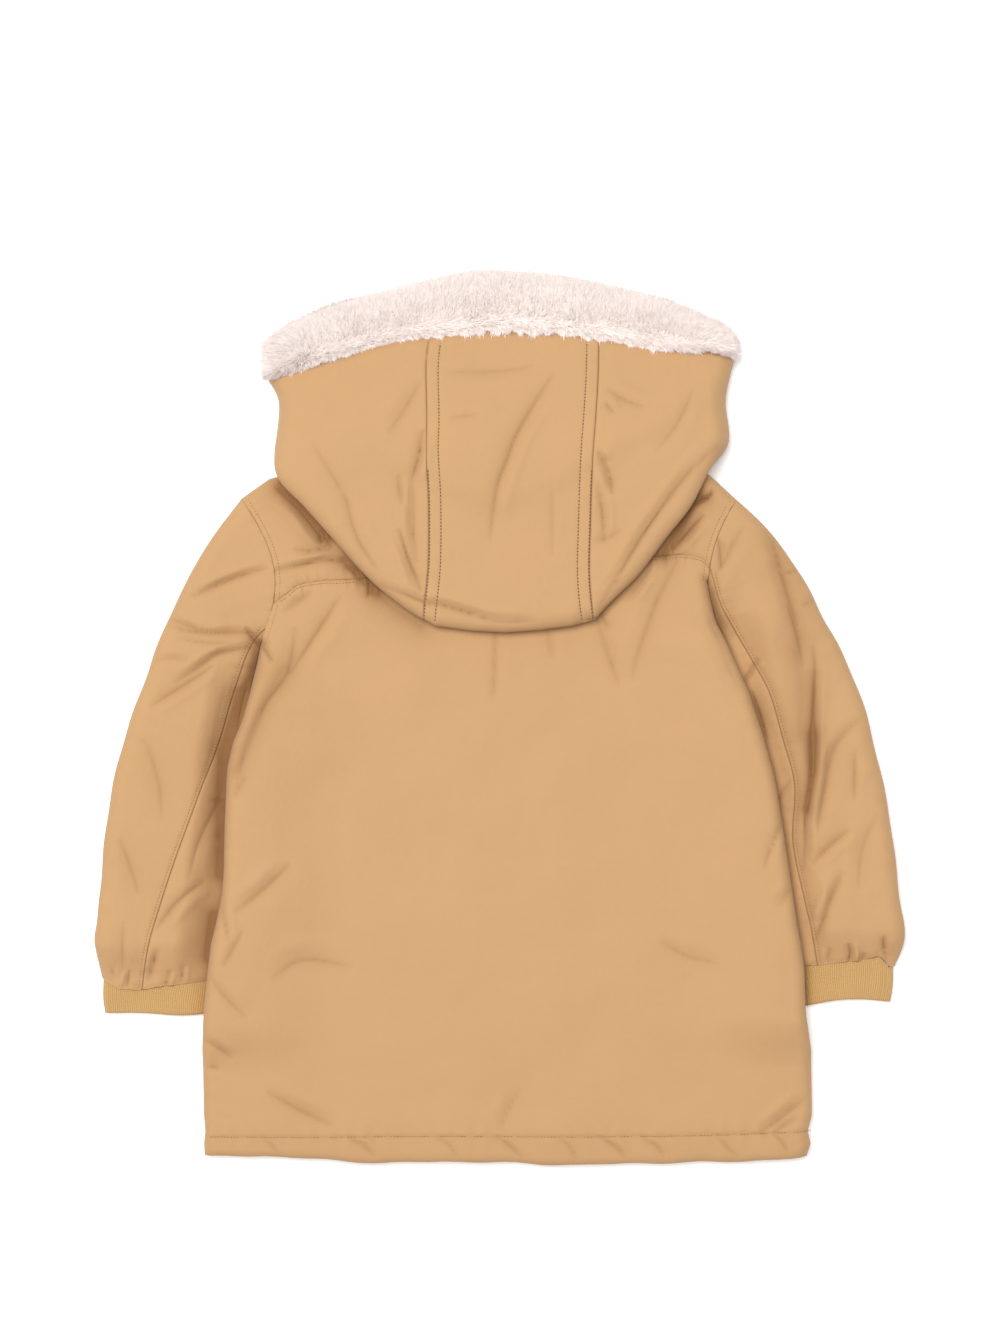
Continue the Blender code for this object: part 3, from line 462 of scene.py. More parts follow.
# %% The layers class
class Layers:
    """Two padded walls that join round an edge.

    The edges have the cloth on their left. The radius is how far the roll reaches into the panel, and
    the inset is the wall's own width at the edge. The other arguments are functions of the plan: the
    height of the slit's middle, the walls' heights above and below it, the slit, and the relief."""

    def __init__(self, edges, radius, inset, mid, up, down, slit, relief):
        self.edges, self.radius, self.inset = edges, radius, inset
        self.mid, self.up, self.down, self.slit, self.relief = mid, up, down, slit, relief

    def nearest(self, plan):
        away, left = reach(plan, self.edges[0])[:2]
        for edge in self.edges[1:]:
            other, other_left = reach(plan, edge)[:2]
            left = np.where((other < away)[..., None], other_left, left)
            away = np.minimum(other, away)
        return away, left

    def roll(self, away):
        return np.sqrt(1 - (1 - np.clip(away / self.radius, 0, 1)) ** 2)

    def top(self, plan):
        """Height of the upper face, for what lies on it."""
        plan = np.asarray(plan, float)
        roll = self.roll(self.nearest(plan)[0])
        full = (self.up(plan) - SEAM / 2) * roll
        return self.mid(plan) + SEAM / 2 + full - self.relief(plan)[..., 0] * roll

    def faces(self, plan, side, widest=1e9, inward=None):
        """Outer and inner points of a wall; side is 1 above, -1 below and 0 on the rolled edge."""
        plan = np.asarray(plan, float)
        side = np.broadcast_to(np.asarray(side, float), plan.shape[:-1])
        away, left = self.nearest(plan)
        roll = self.roll(away)
        mid = self.mid(plan)
        half = np.where(side > 0, self.up(plan), self.down(plan))
        relief, dark = np.moveaxis(self.relief(plan) * ((side > 0) * roll)[..., None], -1, 0)
        high = mid + side * (SEAM / 2 + (half - SEAM / 2) * roll) - relief
        edge_wall = np.minimum(self.inset, widest)
        inset = np.clip(edge_wall - away, 0, None) * 0.72
        inner = plan + (left if inward is None else inward) * inset[..., None]
        open_half = np.clip(self.slit(plan) / 2 - SEAM / 2, 0, None)
        low = mid + side * (SEAM / 2 + open_half * np.clip(away / edge_wall, 0, 1))
        return np.dstack((plan, high)), np.dstack((inner, low)), dark


print("layers class ready")

# %% [markdown]
# ## From two grids to a closed panel
# A panel is a grid of outer points, a grid of inner points and a rim between them, so it is closed and
# has the real thickness. The outer points also carry two values for the finishes: where they are on
# the cloth, as lengths across and along it, and how much painted shade their colour takes, in creases,
# seams and tucks.

# %% The panel maker
INNER_STRIDE = 4        # the inner face has every fourth row and column of the outer one


def lengths(points, axis):
    gaps = np.linalg.norm(np.diff(points, axis=axis), axis=-1)
    return np.concatenate((np.zeros_like(np.take(gaps, [0], axis)), np.cumsum(gaps, axis)), axis)


def put(name, data):
    """A new object in the scene."""
    made = bpy.data.objects.new(name, data)
    bpy.context.scene.collection.objects.link(made)
    return made


def add_piece(name, points, faces, finish, slot, **values):
    """Points in millimetres and faces become a piece on the root body; values are kept per point."""
    mesh = bpy.data.meshes.new(name)
    mesh.from_pydata((points * MM).tolist(), [], faces)
    for key, numbers in values.items():
        kind, field = ("FLOAT_VECTOR", "vector") if numbers.ndim == 2 else ("FLOAT", "value")
        mesh.attributes.new(key, kind, "POINT").data.foreach_set(field, numbers.astype(np.float32).ravel())
    mesh.shade_smooth()
    mesh.materials.append(finish)
    piece = put(name, mesh)
    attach(piece, "root")
    return piece


def pick(count, closed):
    """Rows or columns that the inner face has, with the last one unless the grid closes on itself."""
    return sorted({*range(0, count, INNER_STRIDE), *(() if closed else (count - 1,))})


def panel(name, grids, finish, ring=False, slot="shell_cloth"):
    """A closed mesh: a fine outer face, a coarser inner one, and a rim that joins them."""
    outer, inner, dark = grids
    rows, cols = outer.shape[:2]
    index = np.arange(rows * cols).reshape(rows, cols)
    pick_r, pick_c = pick(rows, False), pick(cols, ring)
    index_in = rows * cols + np.arange(len(pick_r) * len(pick_c)).reshape(len(pick_r), len(pick_c))
    rims = [(0, pick_c, 1), (-1, pick_c, -1)]
    if ring:
        index = np.concatenate((index, index[:, :1]), axis=1)
        index_in = np.concatenate((index_in, index_in[:, :1]), axis=1)
        rims = [(0, pick_c + [cols], 1), (-1, pick_c + [cols], -1)]
    faces = quads(index) + [face[::-1] for face in quads(index_in)]
    rims = [(index[end], index_in[end], marks, way) for end, marks, way in rims]
    if not ring:
        rims += [(index[:, 0], index_in[:, 0], pick_r, -1), (index[:, -1], index_in[:, -1], pick_r, 1)]
    for line, line_in, marks, way in rims:
        for k, (start, stop) in enumerate(zip(marks[:-1], marks[1:])):
            face = [int(line_in[k]), int(line_in[k + 1]), *(int(v) for v in line[start:stop + 1][::-1])]
            faces.append(face[::way])
    picked = np.ix_(pick_r, pick_c)
    points = np.concatenate((outer.reshape(-1, 3), inner[picked].reshape(-1, 3)))
    flat = np.stack((lengths(outer, 1), lengths(outer, 0)), -1) * MM
    cloth = np.zeros((len(points), 3))
    cloth[:, :2] = np.concatenate((flat.reshape(-1, 2), flat[picked].reshape(-1, 2)))
    # fold carries painted shade: how much darker the finishes draw the colour in creases, seams and tucks
    fold = np.zeros(len(points))
    fold[:rows * cols] = dark.ravel()
    piece = add_piece(name, points, faces, finish, slot, cloth=cloth, fold=fold)
    if signed_volume(points, faces) < 0:
        piece.data.flip_normals()
    piece.data.set_sharp_from_angle(angle=math.radians(60))
    return piece


def quads(index):
    corners = index[:-1, :-1], index[:-1, 1:], index[1:, 1:], index[1:, :-1]
    return np.stack(corners, -1).reshape(-1, 4).tolist()


def signed_volume(points, faces):
    """Volume of a closed mesh, below zero when its faces look inwards."""
    fans = np.array([(f[0], f[k], f[k + 1]) for f in faces for k in range(1, len(f) - 1)])
    a, b, c = (points[fans[:, k]] for k in range(3))
    return float((np.cross(a, b) * c).sum()) / 6


def lay(piece, outer, node):
    """Works out the size of the cut that a panel was made from, and hides the CAD part that it stands for.
    """
    across = lengths(outer, 1)[:, -1].max() * MM
    along = lengths(outer, 0)[-1].max() * MM
    cells = np.cross(outer[1:, 1:] - outer[:-1, :-1], outer[1:, :-1] - outer[:-1, 1:])
    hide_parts(node)

# %% [markdown]
# ## The body
# Back and fronts are two padded layers joined at their sides. A curved yoke is let in above the back.
# The yoke seam, the hem's stitching and the armholes all pull in the wadding, so they are part of the
# relief, and the rows of thread are laid over them later.

# %% Body layers
ARMHOLE_ROW = 3.2       # from the armhole to the row of stitching beside it
ARMHOLE_SEWN = ((1.8, 0.4, 0.3), (6, 0.5, 8, 0.5))
PRESSED = 0.15          # the cloth under the hood is pressed at least this far
BODY_DEEPEST, HOOD_DEEPEST = 6.0, 5.0
# distances from a rolled edge at which the grids have a line
ROLL = np.array((0, 0.35, 0.9, 1.8, 3.0, 4.6, 6.6, 8.7, 11.0))
SHOULDERS = [[p for p in reversed(BACK_TOP) if p[0] >= 72], [p for p in reversed(BACK_TOP) if p[0] <= -72]]
LIFT_ENDS = {"left": (38, 4, -192, -226), "right": (77, 42, -188, -222)}
HEM_STITCH = ((-190, -265), (-120, -265.2), (-40, -264.6), (40, -265), (120, -264.2), (165, -262.8),
              (200, -261.5))
HOOD_SHADOW = ((-139, 148), (-123, 131.7), (-89.3, 93.8), (-62, 69.6), (-41, 57), (0, 53), (45, 57),
               (66.5, 68.6), (87.6, 89.5), (125, 140), (132, 155))


def beside(line, gap):
    """A line at a distance to the left of another one."""
    line = np.asarray(line, float)
    run = np.gradient(line, axis=0)
    run /= np.linalg.norm(run, axis=1)[:, None]
    return line + gap * np.column_stack((-run[:, 1], run[:, 0]))


YOKE_LINE = smooth(YOKE, 60)
ARMHOLE_ROWS = {side: beside(ARMHOLE_LINES[side], -SIGN[side] * ARMHOLE_ROW) for side in SIDES}


def body_mid(plan):
    """Height of the slit between front and back: raised where a sleeve lies under the side."""
    lift = np.zeros(plan.shape[:-1])
    for side, (start, full, hold, stop) in LIFT_ENDS.items():
        away = reach(plan, SIDE_SEAMS[side])[0]
        along = ease(start, full, plan[..., 1]) * (1 - ease(hold, stop, plan[..., 1]))
        lift = np.maximum(lift, BODY_LIFT * along * (1 - ease(13, 78, away)))
    return WALL_FRONT + BODY_SLIT / 2 + lift


def body_relief(plan):
    total = folds(plan, BODY_FOLDS)
    x, y = plan[..., 0], plan[..., 1]
    total += wadding(plan, 3, (74, 0.6), (19, 0.08), (6.5, 0.03))
    for side, phase in zip(SIDES, (1.0, 2.2)):
        total += puckers(plan, SIDE_SEAMS[side], 8, 0.6, 13, phase)
        total += sewn(plan, ARMHOLE_LINES[side], *ARMHOLE_SEWN) + groove(plan, ARMHOLE_ROWS[side], 0.9, 0.4)
    total += sewn(plan, HEM_STITCH, (1.3, 0.8, 0, 0.25), (6, 0.9, 11.5, 0.6))
    # the hem band below its stitching is drawn a shade darker, and the back is drawn a little darker
    # towards the hem, a painted falloff of the light
    below_hem_row = y < table_y(HEM_STITCH, x)
    total[..., 1] += 0.08 * below_hem_row + 0.03 * (1 - ease(-260, -60, y))
    total += sewn(plan, YOKE_LINE, (1.8, 0.7, 0.4, 0.1), (7, 1.3, 6.5, 0.2))
    total += groove(plan, PLEAT, 1.8, 0.6) + shadow(plan, PLEAT, 1.3, 0.25)
    total += shadow(plan, HOOD_SHADOW, 2.6, 0.08) + tucks(plan, TUCKS)
    under_hood = (y > table_y(HOOD_SHADOW, x) + 5) & (np.abs(x) < 138)
    pressed = np.maximum(total[..., 0], PRESSED)
    total[..., 0] = np.where(under_hood, pressed, gentle(total[..., 0], BODY_DEEPEST))
    return total


UP, DOWN = WALL_BACK + BODY_SLIT / 2, WALL_FRONT + BODY_SLIT / 2
BODY_LAYERS = Layers([SIDE_SEAMS["left"], SIDE_SEAMS["right"], *SHOULDERS], 8, 6, body_mid, lambda p: UP,
                     lambda p: DOWN, lambda p: BODY_SLIT, body_relief)
print("top of the back at its middle:", round(float(BODY_LAYERS.top([[0, -60]])[0]), 2), "mm")

# %% [markdown]
# ### A grid for each piece of the body
# Each piece is a grid of points from its upper to its lower seam. The lines of the grid lie close
# together at the seams and at the rolled sides, where the cloth turns, and wide apart in the middle.

# %% Grids between two lines
CROWDING = 0.07     # columns crowd towards the sides, where the folds are


def between(top, bottom, share, from_left, middle, from_right, left, right):
    """Plan points from an upper to a lower line, at set distances from both side edges.

    The edges slant, so where a row meets them is found in a few rounds."""
    plan = np.zeros((len(share), len(from_left) + middle + len(from_right), 2))
    crowd = np.linspace(0, 1, middle + 2)[1:-1]
    crowd = crowd - CROWDING * np.sin(2 * np.pi * crowd)
    for r, t in enumerate(share):
        x_left, x_right = left(0.0), right(0.0)
        for _ in range(6):
            y_left = top(x_left) + (bottom(x_left) - top(x_left)) * t
            y_right = top(x_right) + (bottom(x_right) - top(x_right)) * t
            x_left, x_right = left(y_left), right(y_right)
        inside = x_left + from_left[-1] + (x_right - from_right[-1] - x_left - from_left[-1]) * crowd
        xs = np.concatenate((x_left + from_left, inside, x_right - from_right[::-1]))
        plan[r] = np.column_stack((xs, top(xs) + (bottom(xs) - top(xs)) * t))
    return plan


def left_edge(y):
    return body_edge("left", y)


def right_edge(y):
    return body_edge("right", y)


def yoke_y(x):
    return table_y(YOKE, x)


def hem_y(x):
    """The turned hem, drawn up a little at each pucker of its stitching."""
    return table_y(HEM, x) + 0.3 * np.sin(x / 6.1) + 0.3 * np.sin(x / 9.7 + 1)


HEM_PLUMP = 5.5


def turned(share):
    """How far a rounded edge falls: 1 at its end, where the share is 0, and 0 from a share of 1."""
    return 1 - np.sqrt(1 - (1 - share) ** 2)


def hem_turn(plan):
    """The hem is turned up, so its edge is a soft roll with stitching above it."""
    return turned(np.clip((plan[..., 1] - hem_y(plan[..., 0])) / HEM_PLUMP, 0, 1))


# lines of the grid beside the yoke seam, in mm, and at the shoulder, as shares of the yoke
BY_YOKE = np.array((0, 0.25, 0.7, 1.4, 2.4, 3.8, 5.4))
BY_SHOULDER = (0, 0.004, 0.012, 0.024, 0.045, 0.07, 0.1)
BACK_LONG, YOKE_LONG, HEM_FROM = 370, 70, 0.94


def make_back(cloth):
    by_yoke = BY_YOKE / BACK_LONG
    middle = np.linspace(by_yoke[-1], HEM_FROM, 286)[1:-1]
    share = np.concatenate((by_yoke, middle, np.linspace(HEM_FROM, 1, 27)))
    plan = between(lambda x: yoke_y(x) - JOIN / 2, hem_y, share, ROLL, 250, ROLL, left_edge, right_edge)
    outer, inner, dark = BODY_LAYERS.faces(plan, 1)
    outer[..., 2] -= 4.2 * hem_turn(plan)
    inner[..., 2] += 2.6 * hem_turn(plan)
    lay(panel("shell_back_panel", (outer, inner, dark), cloth), outer, "back_panel")
    share = np.concatenate((BY_SHOULDER, np.linspace(0.13, 0.94, 62), 1 - BY_YOKE[-2::-1] / YOKE_LONG))
    plan = between(lambda x: table_y(BACK_TOP, x), lambda x: yoke_y(x) + JOIN / 2, share, ROLL, 220, ROLL,
                   left_edge, right_edge)
    grids = BODY_LAYERS.faces(plan, 1)
    lay(panel("shell_back_yoke", grids, cloth), grids[0], "back_yoke")


# %% [markdown]
# ### Fronts and placket
# The fronts lie on the floor and can't be seen from above, so they stay plain: they are flat underneath
# and meet on the centre line, under the flap that covers the zip.

# %% Fronts and placket
PLACKET_WIDE, PLACKET_THICK = 46.0, 2.4


def make_fronts(cloth):
    step_in = PLACKET_WIDE / 2 + SEAM
    centre = np.array([SEAM / 2, step_in, step_in + 0.4])
    yoke_share = np.concatenate(((0, 0.01, 0.04, 0.1), np.linspace(0.2, 1, 9)))
    share = np.concatenate((np.linspace(0, HEM_FROM, 60)[:-1], np.linspace(HEM_FROM, 1, 8)))
    for side in SIDES:
        edges = (left_edge, lambda y: 0.0) if side == "left" else (lambda y: 0.0, right_edge)
        columns = (ROLL, 24, centre) if side == "left" else (centre, 24, ROLL)
        upper = between(lambda x: table_y(FRONT_TOP, x), yoke_y, yoke_share, *columns, *edges)
        lower = between(yoke_y, hem_y, share, *columns, *edges)
        plan = np.concatenate((upper[:-1], lower))
        outer, inner, dark = BODY_LAYERS.faces(plan, -1)
        raised = np.abs(plan[..., 0]) < step_in + 0.2
        outer[..., 2] = np.where(raised, PLACKET_THICK + SEAM, outer[..., 2])
        inner[..., 2] -= 2.4 * hem_turn(plan)
        name = "shell_front_" + side
        lay(panel(name, (outer, inner, dark), cloth), outer, "front_" + side)
    top, low = 132, -281.2
    half = PLACKET_WIDE / 2
    plan = np.dstack(np.meshgrid(np.linspace(-half, half, 24), np.linspace(top, low, 100)))
    x, y = plan[..., 0], plan[..., 1]
    rim = np.minimum(half - np.abs(x), np.minimum(top - y, y - low))
    soft = turned(np.clip(rim / 2.2, 0, 1))
    stitched = np.exp(-((rim - 6) / 1.0) ** 2)
    under = np.dstack((plan, 0.8 * soft + 0.5 * stitched))
    over = np.dstack((plan, PLACKET_THICK - 0.6 * soft))
    lay(panel("shell_placket", (under, over, 0 * rim), cloth), under, "front_placket")


# %% [markdown]
# ## Sleeves
# Each sleeve is a padded tube pressed flat, of a wide upper and a narrow under piece. The body lies on
# its inner edge and squeezes it there. Both pieces come from stations down the sleeve: its outer edge,
# its back seam and its inner edge.

# %% Sleeves
# outer edge x, y; back seam x, y; inner edge x, y
SLEEVE = {
    "left": ((-188, 104, -156.5, 48.8, -151.9, 43), (-208, 65, -160.5, 37, -153.8, 33),
             (-223, 28, -169.5, 11.3, -157.5, 8), (-236, -10, -178, -18, -163, -20),
             (-246.5, -50, -190.5, -51.5, -164.5, -52), (-251, -90, -205, -91, -168.5, -92),
             (-254.5, -124, -216, -125, -173, -126), (-256.2, -144, -222, -146, -176, -147),
             (-252, -165.5, -227, -171, -180, -167)),
    "right": ((169, 118.5, 139, 73, 134.8, 67), (188, 93, 147, 56, 141.6, 48), (203, 65, 157, 39, 146, 27),
              (218, 37, 169, 17, 151, 7), (232.5, -2, 178, -12, 159.5, -18),
              (242, -41, 186, -46, 166, -44), (249, -83, 185, -82, 170.5, -78),
              (253.4, -119, 192, -119, 175.5, -114), (256, -141, 197, -141, 180, -136),
              (250, -158, 201, -157.5, 184.5, -158.5)),
}
ARMHOLE_GAP = 0.12
EDGE_WOBBLE = 0.35      # unevenness of a stuffed edge
SEAM_ROW = 2.1          # from the sleeve's back seam to its row of stitching
SLEEVE_WALL = 3.6       # how far the inner face stays inside the sleeve's edges
DRAWN_IN = 8.0          # thickness that the gathers take up at the cuff
# how far the sleeve's end hangs above or below a straight line, from its outer to its inner edge
SLEEVE_END = {"left": ((0, 0), (0.06, -3.4), (0.15, -6.8), (0.34, -7.2), (0.55, -4.2), (0.74, -2.6),
                       (1, 0)),
              "right": ((0, 0), (0.05, -0.6), (0.1, 3.4), (0.14, 7.0), (0.2, 6.0), (0.36, 3.4), (0.52, 2.8),
                        (0.76, 0.6), (1, 0))}


def sleeve_rows(side, places):
    """Stations from the armhole down: outer edge, back seam and inner edge."""
    sign = SIGN[side]
    top_x, top_y, low_x, low_y, _ = ARMHOLE[side]
    gap = sign * ARMHOLE_GAP
    first = (top_x + gap, top_y, low_x + gap, low_y + 9.0, low_x + 1.6 * gap, low_y - 0.6)
    rows = smooth((first,) + SLEEVE[side], places)
    down = np.linspace(0, 1, len(rows)) if np.isscalar(places) else np.asarray(places)
    rows[:, 0] += sign * EDGE_WOBBLE * (np.sin(31 * down) + np.sin(53 * down + sign)) * np.sin(np.pi * down)
    closed = sign * body_edge(side, rows[:, 5]) + ARMHOLE_GAP
    rows[:, 4] = sign * np.minimum(sign * rows[:, 4], closed)
    return rows


def sleeve_plan(side, rows, share):
    """Plan points at shares of the way from the outer to the inner edge, bowed at both ends."""
    t = np.linspace(0, 1, len(rows))[:, None]
    plan = rows[:, None, 0:2] + (rows[:, None, 4:6] - rows[:, None, 0:2]) * share[..., None]
    arch = np.sin(np.pi * share)
    plan[..., 0] += ARMHOLE[side][4] * arch * np.clip(1 - t * 4, 0, 1) ** 1.5
    plan[..., 1] += np.interp(share, *zip(*SLEEVE_END[side])) * np.clip(t * 6 - 5, 0, 1)
    return plan


def back_seam(side, rows):
    """The seam's points, which are the ends of the top piece, and its place across the sleeve."""
    width = np.linalg.norm(rows[:, 4:6] - rows[:, 0:2], axis=1)
    seam = np.clip(np.linalg.norm(rows[:, 2:4] - rows[:, 0:2], axis=1) / width, 0.2, 0.93)
    return width, seam, sleeve_plan(side, rows, seam[:, None])[:, 0]


def tube_edges(side, outer_edge, inner_edge):
    """Both edges of a tube pressed flat, each with the cloth on its left."""
    if side == "left":
        return [outer_edge, inner_edge[::-1]]
    return [outer_edge[::-1], inner_edge]


def sleeve_layers(side, rows):
    outer_edge, inner_edge = rows[:, 0:2], rows[:, 4:6]
    low_x, low_y = ARMHOLE[side][2:4]
    cuff_y = rows[-1, 5]
    seam_line = back_seam(side, rows)[2]
    seam_row = beside(seam_line, SIGN[side] * SEAM_ROW)
    cuff_line = sleeve_plan(side, rows, np.linspace(0, 1, 12)[None].repeat(len(rows), 0))[-1]

    def thick(plan):
        away = reach(plan, inner_edge)[0]
        from_armhole = np.hypot(plan[..., 0] - low_x, plan[..., 1] - low_y)
        tuck = ease(10, 44, from_armhole) * (1 - ease(7, 30, away))
        full = SLEEVE_THICK - DRAWN_IN * (1 - ease(cuff_y, cuff_y + 26, plan[..., 1]))
        return full + (TUCK_THICK - full) * tuck

    def relief(plan):
        seed = 11 if side == "left" else 21
        total = folds(plan, SLEEVE_FOLDS) + wadding(plan, seed, (52, 0.7), (15, 0.1), (6, 0.03))
        total += sewn(plan, seam_line, (1.8, 0.5, 0.6, 0.35), (6, 0.5, 7.5, seed))
        total += groove(plan, seam_row, 0.9, 0.4) + sewn(plan, ARMHOLE_LINES[side], *ARMHOLE_SEWN)
        total += puckers(plan, outer_edge, 10, 0.8, 15, seed)
        total += sewn(plan, cuff_line, (2.0, 1.0, 0, 0.2), (7, 0.9, 8.6, seed))
        total += shadow(plan, SIDE_SEAMS[side], 6.0, 0.9 if side == "left" else 0.1)
        total += tucks(plan, SLEEVE_TUCKS)
        total[..., 0] = gentle(total[..., 0], BODY_DEEPEST)
        return total

    return Layers(tube_edges(side, outer_edge, inner_edge), 10, SLEEVE_WALL, lambda p: 0.475 * thick(p),
                  lambda p: 0.525 * thick(p), lambda p: 0.475 * thick(p), lambda p: 0.1 * thick(p), relief)


FLOOR_SEAM = 0.55       # share of the width at which the hidden seam underneath lies
# distances from the back seam, and from the inner edge above (as shares) and underneath
SLEEVE_BY_SEAM = np.array((0, 0.25, 0.7, 1.4, 2.2, 3.0, 4.2))
TUCKED_ROLL = np.array((0, 0.03, 0.08, 0.17, 0.3, 0.5))
TUCKED_BACK = np.array((9.0, 6.0, 3.6, 2.0, 0.8))
TOP_COLUMNS, UNDER_COLUMNS, FLOOR_COLUMNS = 72, 32, 12
SLEEVE_PLACES = np.concatenate(((0, 0.001, 0.003, 0.006, 0.01), np.linspace(0.015, 0.9, 196),
                                np.linspace(0.906, 1, 26)))
SLEEVE_ROWS = {side: sleeve_rows(side, SLEEVE_PLACES) for side in SIDES}
SLEEVE_LAYERS = {side: sleeve_layers(side, SLEEVE_ROWS[side]) for side in SIDES}


def sleeve_columns(wide, seam):
    """Places across a station, as shares of its width, for the top piece and for the under piece."""
    gap, edge = JOIN / wide, ROLL / wide
    by_seam = seam - gap - SLEEVE_BY_SEAM / wide
    over = np.concatenate((by_seam, np.linspace(by_seam[-1], edge[-1], TOP_COLUMNS)[1:]))
    below = np.linspace(edge[-1], FLOOR_SEAM - gap, FLOOR_COLUMNS)
    top = np.concatenate((over, edge[-2::-1], edge[1:-1], below))
    left_over = (1 - seam) * wide
    tucked = TUCKED_ROLL * min(TUCKED_BACK[0], left_over) / wide
    by_seam = seam + gap + SLEEVE_BY_SEAM * min(1, left_over / 22) / wide
    over = np.concatenate((by_seam, np.linspace(by_seam[-1], 1 - tucked[-1], UNDER_COLUMNS)[1:-1]))
    back = 1 - TUCKED_BACK / wide
    below = np.linspace(back[0], FLOOR_SEAM + gap, FLOOR_COLUMNS)[1:]
    return top, np.concatenate((over, 1 - tucked[::-1], back[::-1], below))


def make_sleeve(side, cloth):
    """The top piece turns under at the outer edge (share 0), the under piece at the inner one (1)."""
    rows, layers = SLEEVE_ROWS[side], SLEEVE_LAYERS[side]
    width, seam, _ = back_seam(side, rows)
    inward = ((rows[:, 4:6] - rows[:, 0:2]) / width[:, None])[:, None]
    edge_wall = np.clip(0.8 + SLEEVE_PLACES * 18, 0, SLEEVE_WALL)[:, None]
    columns = zip(*(sleeve_columns(*station) for station in zip(width, seam)))
    for name, shares, turn in zip(("top", "under"), columns, (0, 1)):
        shares = np.array(shares)
        fold_at = list(shares[0]).index(turn)
        kind = -np.sign(np.arange(shares.shape[1]) - fold_at)
        way = inward * np.where(shares < 0.5, 1, -1)[..., None]
        grids = layers.faces(sleeve_plan(side, rows, shares), kind, edge_wall, way)
        piece = panel(f"shell_sleeve_{side}_{name}", grids, cloth)
        lay(piece, grids[0], f"sleeve_{side}_{name}")


sleeve_long = [round(line_length(rows[:, 0:2])) for rows in SLEEVE_ROWS.values()]
print("sleeves from armhole to cuff:", sleeve_long, "mm")

# %% [markdown]
# ### Cuffs
# The cuffs are one-by-one rib knit. The ribs are what one sees, so each is modelled: a wave across the
# knit, with stitches that step down it left to the finish.

# %% Cuffs
# rows of outer x, y; inner x, y
CUFF = {
    "left": ((-251.2, -165.6, -180.6, -167.1), (-251.6, -178, -181.6, -179),
             (-250.2, -188, -182.4, -188.8)),
    "right": ((249.0, -158.1, 184.8, -158.6), (249.0, -170, 186.6, -171),
              (247.2, -181.0, 189.0, -184.8)),
}
CUFF_EDGE = {"left": lambda share: 1.4 * np.sin(7 * share) * share,
             "right": lambda share: 3.4 * np.sin(np.pi * share)}
CUFF_ROLL, CUFF_WALL, CUFF_SLIT = 4.5, 3.2, 1.8
RIB_PITCH, RIB_DEEP = 1.36, 0.36


def make_cuff(side, knit):
    rows = smooth(CUFF[side], 22)
    outer_edge, inner_edge = rows[:, 0:2], rows[:, 2:4]

    def thick(plan):
        away = reach(plan, inner_edge)[0]
        return CUFF_THICK + (TUCK_THICK - CUFF_THICK) * (1 - ease(4, 16, away))

    def relief(plan):
        return ripple(plan, 21, 0.35, 31) + 0.25 + shadow(plan, SIDE_SEAMS[side], 4.0, 0.8)

    def half(plan):
        return thick(plan) / 2

    layers = Layers(tube_edges(side, outer_edge, inner_edge), CUFF_ROLL, CUFF_WALL, half, half, half,
                    lambda p: CUFF_SLIT, relief)
    width = float(np.linalg.norm(rows[0, 2:4] - rows[0, 0:2]))
    across = int(round(width / RIB_PITCH)) * 6
    turn = np.linspace(0, np.pi, across // 6)
    over = np.unique(np.concatenate((np.linspace(0, 1, across + 1), 0.5 - 0.5 * np.cos(turn))))
    share = np.concatenate((over, over[-2:0:-1]))
    kind = np.concatenate(([0], np.ones(len(over) - 2), [0], -np.ones(len(over) - 2)))
    plan = outer_edge[:, None] + (inner_edge - outer_edge)[:, None] * share[None, :, None]
    down = np.linspace(0, 1, len(rows))[:, None]
    end = np.interp(share, *zip(*SLEEVE_END[side]))
    bottom = CUFF_EDGE[side](share) * np.clip(2 * down - 1, 0, 1)
    plan[..., 1] += end * np.clip(1 - 2.2 * down, 0, 1) + bottom - JOIN
    outer, inner, dark = layers.faces(plan, kind)
    waver = 0.5 * np.sin(plan[..., 1] / 5.0 + plan[..., 0] / 11.0)
    rib = 0.5 + 0.5 * np.cos(2 * np.pi * (share * width + waver) / RIB_PITCH)
    hem = np.clip((1 - down) / 0.12, 0, 1)
    slim = RIB_DEEP * (1 - rib) + 2.6 * turned(hem)
    outer[..., 2] += slim * np.select((kind > 0, kind < 0), (-1, 0.35), 0)
    # painted shade in the valleys between the ribs
    dark = np.where(kind > 0, 0.55 * (1 - rib) + dark, 0)
    piece = panel("rib_cuff_" + side, (outer, inner, dark), knit, ring=True, slot="rib_knit")
    lay(piece, outer, "cuff_" + side)


print("a cuff's wide edge is", round(line_length([CUFF["left"][0][:2], CUFF["left"][0][2:]])), "mm")

# %% [markdown]
# ## The hood
# The hood has a centre panel and two sides. It lies flopped onto the back, so its upper layer folds
# under along the lowest edge, and under it lies the other half. Its seams are twin stitched: one row in
# the seam and one on the centre panel beside it.

